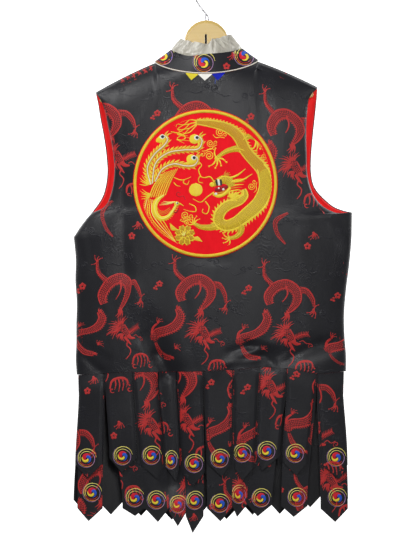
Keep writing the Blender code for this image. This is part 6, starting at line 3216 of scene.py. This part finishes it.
    def plumes(self, pen: Pen) -> None:
        """Three long plumes, each with an eye at its curled tip.

        Args:
            pen: What it is drawn with.
        """
        routes = (
            ((-114, -2), (-121, 32), (-107, 60), (-86, 80), (-79, 92), (-84, 100)),
            ((-111, 0), (-104, 42), (-78, 64), (-46, 70), (-16, 72), (-7, 88), (-12, 98)),
            ((-105, 4), (-90, 30), (-66, 41), (-42, 37), (-24, 38), (-16, 48), (-18, 56)),
        )
        for route in routes:
            x, z = route[-1]
            pen.stroke(route, (5, 8, 10, 10, 8, 5), GOLD_BARBS, 0.7)
            pen.barbs(route[:-1], 8.0, 11.0, 4.4, GOLD_BRIGHT, -1.0, -58.0, 3.0)
            pen.barbs(route[:-1], 10.0, 9.0, 3.4, GOLD_BRAID, 1.0, -58.0, 3.0)
            pen.fan(x + 3.0, z - 8.0, (52.0, 78.0), 17.0, 4.0, GOLD_BRAID, 0.25, 0.8, 0.2)
            pen.dot(x - 11.0, z - 5.0, 10.5, GOLD_BRIGHT, 1.2, 0.4)
            pen.spiral(x - 11.0, z - 5.0, 9.6, 1.0, 1.0, GOLD_BRAID, 30.0)
            pen.stroke(route, (1.4, 1.8, 1.8, 1.6, 1.4), WHITE_THREAD, 0.5, 1.0)
            pen.dot(x - 6.0, z - 2.0, 5.6, WHITE_THREAD, 0.5, 1.7)
            pen.dot(x - 5.2, z - 2.0, 3.4, BLACK_THREAD, 0.6, 2.1)

    def flower_and_pearl(self, pen: Pen) -> None:
        """The peony with its leaves, and the pearl with its flames.

        Args:
            pen: What it is drawn with.
        """
        pen.dot(-20.0, -13.0, 14.0, GOLD_BRIGHT, 1.2, 0.2)
        pen.spiral(-20.0, -13.0, 13.4, 1.0, 1.2, GOLD_BRAID)
        flames = (
            ((-66, 13), (-54, 8), (-44, 8), (-30, 14)),
            ((-44, 8), (-46, 2), (-38, -2), (-34, 6)),
            ((-66, 2), (-60, -4), (-52, -6)),
            ((-72, 108), (-52, 104), (-42, 96), (-50, 90), (-60, 92), (-44, 84)),
            ((-34, -42), (-22, -48), (-20, -58), (-32, -58), (-46, -54)),
        )
        for flame in flames:
            pen.stroke(flame, (1.6, 2.2, 1.8, 0.8), GOLD_BRIGHT, 0.7)
        for reach, count, width in ((21.0, 8, 13.0), (12.0, 6, 8.0)):
            for step in range(count):
                petal = pen.at(-43.0, -108.0, 360.0 * step / count + reach)
                rise = 0.1 * (22.0 - reach)
                middle = ((2, 0), (reach * 0.6, 0), (reach, 0))
                petal.stroke(middle, (3, width, width * 0.8), GOLD_DEEP, 0.8, rise)
                for side in (-1.0, 1.0):
                    rim = ((4, 0), (reach * 0.6, side * width * 0.45), (reach, side * width * 0.2))
                    petal.stroke(rim, (1.2, 1.8, 1.6), GOLD_BRIGHT, 0.5, rise + 0.5)
        pen.fan(-43.0, -108.0, (70.0, 110.0, 150.0), 9.0, 2.6, PALE_GOLD, 0.2, 0.6, 1.8)
        for x, z, turn in ((-64.0, -92.0, 140.0), (-20.0, -118.0, -12.0)):
            leaf = pen.at(x, z, turn)
            leaf.stroke(((-8, 0), (2, 4), (13, 0)), (1, 9, 1), GOLD_BRAID, 0.7)
            leaf.stroke(((-8, 0), (2, 0), (14, 0)), (1.4, 1.4), GOLD_BRIGHT, 0.5, 0.6)

    def clouds(self, pen: Pen) -> None:
        """Curled clouds in thin gold lines.

        Args:
            pen: What it is drawn with.
        """
        for x, z, radius, turn in CURLS:
            spot = pen.at(x, z, turn, radius / 10.0)
            spot.spiral(0.0, 0.0, 9.0, 1.9, 1.7, GOLD_BRIGHT)
            spot.spiral(11.0, -7.0, 5.0, 1.1, 1.5, GOLD_BRIGHT, 180.0)
            spot.stroke(((-14, -6), (-8, -12), (2, -11), (10, -13)), (1.0, 1.7, 1.2), GOLD_BRIGHT)


CURLS = (
    (30.0, 108.0, 10.0, 0.0),
    (10.0, 84.0, 9.0, 40.0),
    (8.0, 58.0, 11.0, 200.0),
    (122.0, 56.0, 8.0, 100.0),
    (80.0, 116.0, 9.0, -50.0),
    (96.0, -6.0, 9.0, 90.0),
    (-42.0, -66.0, 10.0, 20.0),
    (-40.0, -80.0, 8.0, 190.0),
    (4.0, 137.0, 6.0, 0.0),
)


@dataclass(frozen=True)
class Pennant:
    """A small pointed flag under the collar seam."""

    name: str
    left: float
    right: float
    tip_x: float
    tip_z: float
    finish: Satin
    slot: Slot


PENNANTS = (
    Pennant("pennant_yellow", -42.8, -17.4, -31.3, -216.0, YELLOW_FLAG, Slot.YELLOW),
    Pennant("pennant_white", -16.8, 11.2, -3.6, -216.8, WHITE_FLAG, Slot.WHITE),
    Pennant("pennant_blue", 11.8, 38.2, 23.0, -216.4, BLUE_FLAG, Slot.BLUE),
)


LOOSE_THREAD = ((18.0, -213.0), (18.8, -216.5), (17.8, -219.5), (18.6, -223.0))


@dataclass
class Pennants:
    """The three pennants, laid on the back below the collar seam."""

    cells: tuple[int, int] = (12, 10)
    gap: float = 0.6
    wall: float = 0.8

    def build(self, wardrobe: Wardrobe, ground: Ground) -> None:
        """Make the pennants.

        Args:
            wardrobe: What dresses and keeps each piece.
            ground: The piece that it is laid on.
        """
        for pennant in PENNANTS:
            self.add(wardrobe, ground, pennant)
        work = Needlework(1.0, 3)
        Pen(work).stroke(LOOSE_THREAD, (0.9, 0.9, 0.6), BLUE_THREAD, 0.5, 0.2)
        mesh = mesh_from("loose_thread", laid_on(work.bm, ground))
        wardrobe.dress("loose_thread", mesh, work.finishes, sharp=180.0)

    def add(self, wardrobe: Wardrobe, ground: Ground, pennant: Pennant) -> None:
        """Make one pennant.

        Args:
            wardrobe: What dresses and keeps each piece.
            ground: The piece that it is laid on.
            pennant: Its outline, finish and slot.
        """

        def place(across: Array, up: Array, through: Array) -> Array:
            """A place on the pennant.

            Args:
                across: Shares across.
                up: Shares up.
                through: Shares through the wall.

            Returns:
                The places.
            """
            x = mix(pennant.left, pennant.right, across)
            top = neck_line_z(x, BACK_NECK_DROP) - 0.6
            point = 1.0 - np.abs(2.0 * across - 1.0)
            low = mix(top - 1.5, pennant.tip_z, point)
            lean = (pennant.tip_x - (pennant.left + pennant.right) / 2.0) * point * (1.0 - up)
            curl = 0.5 * (1.0 - up) * np.abs(2.0 * across - 1.0)
            height = self.gap + through * self.wall + curl
            laid, _ = ground.lay(np.stack([x + lean, height, mix(low, top, up)], axis=-1))
            return laid

        size = (pennant.right - pennant.left, neck_line_z(0.0, BACK_NECK_DROP) - pennant.tip_z)
        mesh = wall_mesh(pennant.name, self.cells, place, size)
        finishes = (pennant.finish, pennant.finish)
        piece = wardrobe.dress(f"{pennant.name}_flag", mesh, finishes, [pennant.name])
        flat = (size[0] * MM, (size[1] + 3.0) * MM)
        0.55 * flat[0] * flat[1]


@dataclass
class Hanger:
    """The hanger's wood, kept from the CAD, a dark block in its slot as painted shade, and its twisted wire
    hook.
    """

    wire_radius: float = 1.7
    hook_radius: float = 28.0
    slot_x: float = -1.3
    slot_width: float = 4.7
    slot_top: float = -117.4
    slot_length: float = 26.0
    shade_block_thickness: float = 6.0

    def route(self) -> tuple[Array, Array]:
        """The hook's line from the wood to its end, with its radius.

        Returns:
            Places along the hook, and its radius at each.
        """
        neck = [
            (-1.7, 0.0, -88.4),
            (-1.8, 0.0, -80.0),
            (-2.0, 0.0, -73.8),
            (-10.0, 0.0, -63.4),
            (-20.5, 0.0, -48.0),
        ]
        centre_z = self.wire_radius - self.hook_radius
        angles = np.radians(np.arange(180.0, -31.0, -5.0))
        loop_x = self.hook_radius * np.cos(angles)
        loop = np.stack([loop_x, 0.0 * angles, centre_z + self.hook_radius * np.sin(angles)], axis=-1)
        bend = curve_through([*neck, tuple(loop[0])], 6)
        route = np.vstack([bend[:-1], loop])
        radii = np.full(len(route), self.wire_radius)
        radii[-1] = 0.9 * self.wire_radius
        return route, radii

    def build(self, wardrobe: Wardrobe) -> None:
        """Give the wood its finish, and make the hook and the dark block that paints the slot's shade.

        Args:
            wardrobe: What dresses and keeps each piece.
        """
        board = bpy.data.objects["hanger_board"]
        for slot in board.material_slots:
            slot.material = wardrobe.finish(LIGHT_PLYWOOD)
        route, radii = self.route()
        leg_line = [(4.6, 0.0, -88.4), (3.4, 0.0, -80.5), (-0.6, 0.0, -74.6), (-4.6, 0.0, -70.0)]
        leg = np.array(curve_through(leg_line, 5))
        wires = bmesh.new()
        wires.from_mesh(tube_mesh("hanger_wire", route, radii, 16))
        wires.from_mesh(tube_mesh("hanger_leg", leg, np.full(len(leg), self.wire_radius * 0.9), 12))
        mesh = mesh_from("hanger_hook", wires)
        wardrobe.dress("hanger_hook_wire", mesh, (BRIGHT_WIRE,), ["hanger_hook"])
        # Painted shade: a dark block fills the slot, where only shadow falls.
        bm = bmesh.new()
        bmesh.ops.create_cube(bm, size=1.0)
        size = (self.slot_width - 0.2, self.shade_block_thickness, self.slot_length - 0.2)
        bmesh.ops.scale(bm, vec=size, verts=bm.verts)
        middle = (self.slot_x, 0.0, self.slot_top - self.slot_length / 2.0)
        bmesh.ops.translate(bm, vec=middle, verts=bm.verts)
        wardrobe.dress("hanger_slot_felt", mesh_from("hanger_slot_felt", bm), (SLOT_SHADE_BLOCK,))


@dataclass
class Studio:
    """Bright wall, soft lights and the camera."""

    wall_y: float = 900.0
    wall_half: float = 4000.0
    camera: tuple[float, float, float] = (3.15, -9000.0, -628.1)
    lens: float = 278.0
    sensor: float = 36.0
    ambient: float = 0.15

    def build(self, wardrobe: Wardrobe) -> None:
        """Make the backdrop, the lights, the world and the camera.

        Args:
            wardrobe: What dresses and keeps each piece.
        """
        self.add_backdrop(wardrobe)
        self.add_light("key", (-1400.0, -1500.0, 1000.0), 700.0, 40.0)
        self.add_light("fill", (1800.0, -1300.0, 200.0), 900.0, 8.0)
        self.add_light("front", (250.0, -2700.0, 100.0), 700.0, 31.0)
        self.add_light("far_side", (1300.0, 620.0, 100.0), 500.0, 9.0)
        world = bpy.data.worlds.new("pale_studio")
        world.use_nodes = True
        background = world.node_tree.nodes["Background"]
        background.inputs["Color"].default_value = (1.0, 1.0, 1.0, 1.0)
        background.inputs["Strength"].default_value = self.ambient
        bpy.context.scene.world = world
        bpy.context.scene.view_settings.view_transform = "Standard"
        self.add_camera()

    def add_backdrop(self, wardrobe: Wardrobe) -> None:
        """A bright wall behind the vest.

        Args:
            wardrobe: What dresses and keeps each piece.
        """
        bm = bmesh.new()
        bmesh.ops.create_grid(bm, x_segments=8, y_segments=8, size=self.wall_half * MM)
        bmesh.ops.rotate(bm, matrix=Matrix.Rotation(math.pi / 2.0, 3, "X"), verts=bm.verts)
        bmesh.ops.translate(bm, vec=(0.0, self.wall_y * MM, self.camera[2] * MM), verts=bm.verts)
        mesh = mesh_from("backdrop", bm)
        mesh.materials.append(wardrobe.finish(BACKDROP_PAPER))
        backdrop = bpy.data.objects.new("backdrop", mesh)
        bpy.context.scene.collection.objects.link(backdrop)

    def add_light(self, name: str, place: tuple[float, float, float], size: float, power: float) -> None:
        """A square soft light that points at the vest's middle.

        Args:
            name: Its name.
            place: Where it stands.
            size: Length of its sides.
            power: Its power in watts.
        """
        light = bpy.data.lights.new(name, "AREA")
        light.size = size * MM
        light.energy = power
        lamp = bpy.data.objects.new(name, light)
        bpy.context.scene.collection.objects.link(lamp)
        lamp.location = Vector(place) * MM
        middle = Vector((0.0, 0.0, -620.0)) * MM
        lamp.rotation_euler = (middle - lamp.location).to_track_quat("-Z", "Y").to_euler()

    def add_camera(self) -> None:
        """The camera at the photograph's place, level and facing +Y."""
        data = bpy.data.cameras.new("camera")
        data.lens = self.lens
        data.sensor_width = self.sensor
        camera = bpy.data.objects.new("camera", data)
        bpy.context.scene.collection.objects.link(camera)
        camera.location = Vector(self.camera) * MM
        camera.rotation_euler = (math.pi / 2.0, 0.0, 0.0)
        bpy.context.scene.camera = camera


def main() -> None:
    """Build and dress the vest, its hanger and the studio."""
    logging.basicConfig(level=logging.INFO, format="%(name)s %(message)s")
    wardrobe = Wardrobe()
    figures = WovenFigures(BrocadeRepeat())
    body = Body()
    grounds = body.build(wardrobe)
    body.add_figures(wardrobe, grounds, figures)
    Skirt().build(wardrobe, figures)
    Collar().build(wardrobe, figures)
    Pennants().build(wardrobe, grounds["back"])
    Roundel().build(wardrobe, grounds["back"])
    RoundelEmbroidery().build(wardrobe, grounds["back"])
    Hanger().build(wardrobe)
    Studio().build(wardrobe)


if __name__ == "__main__":
    main()
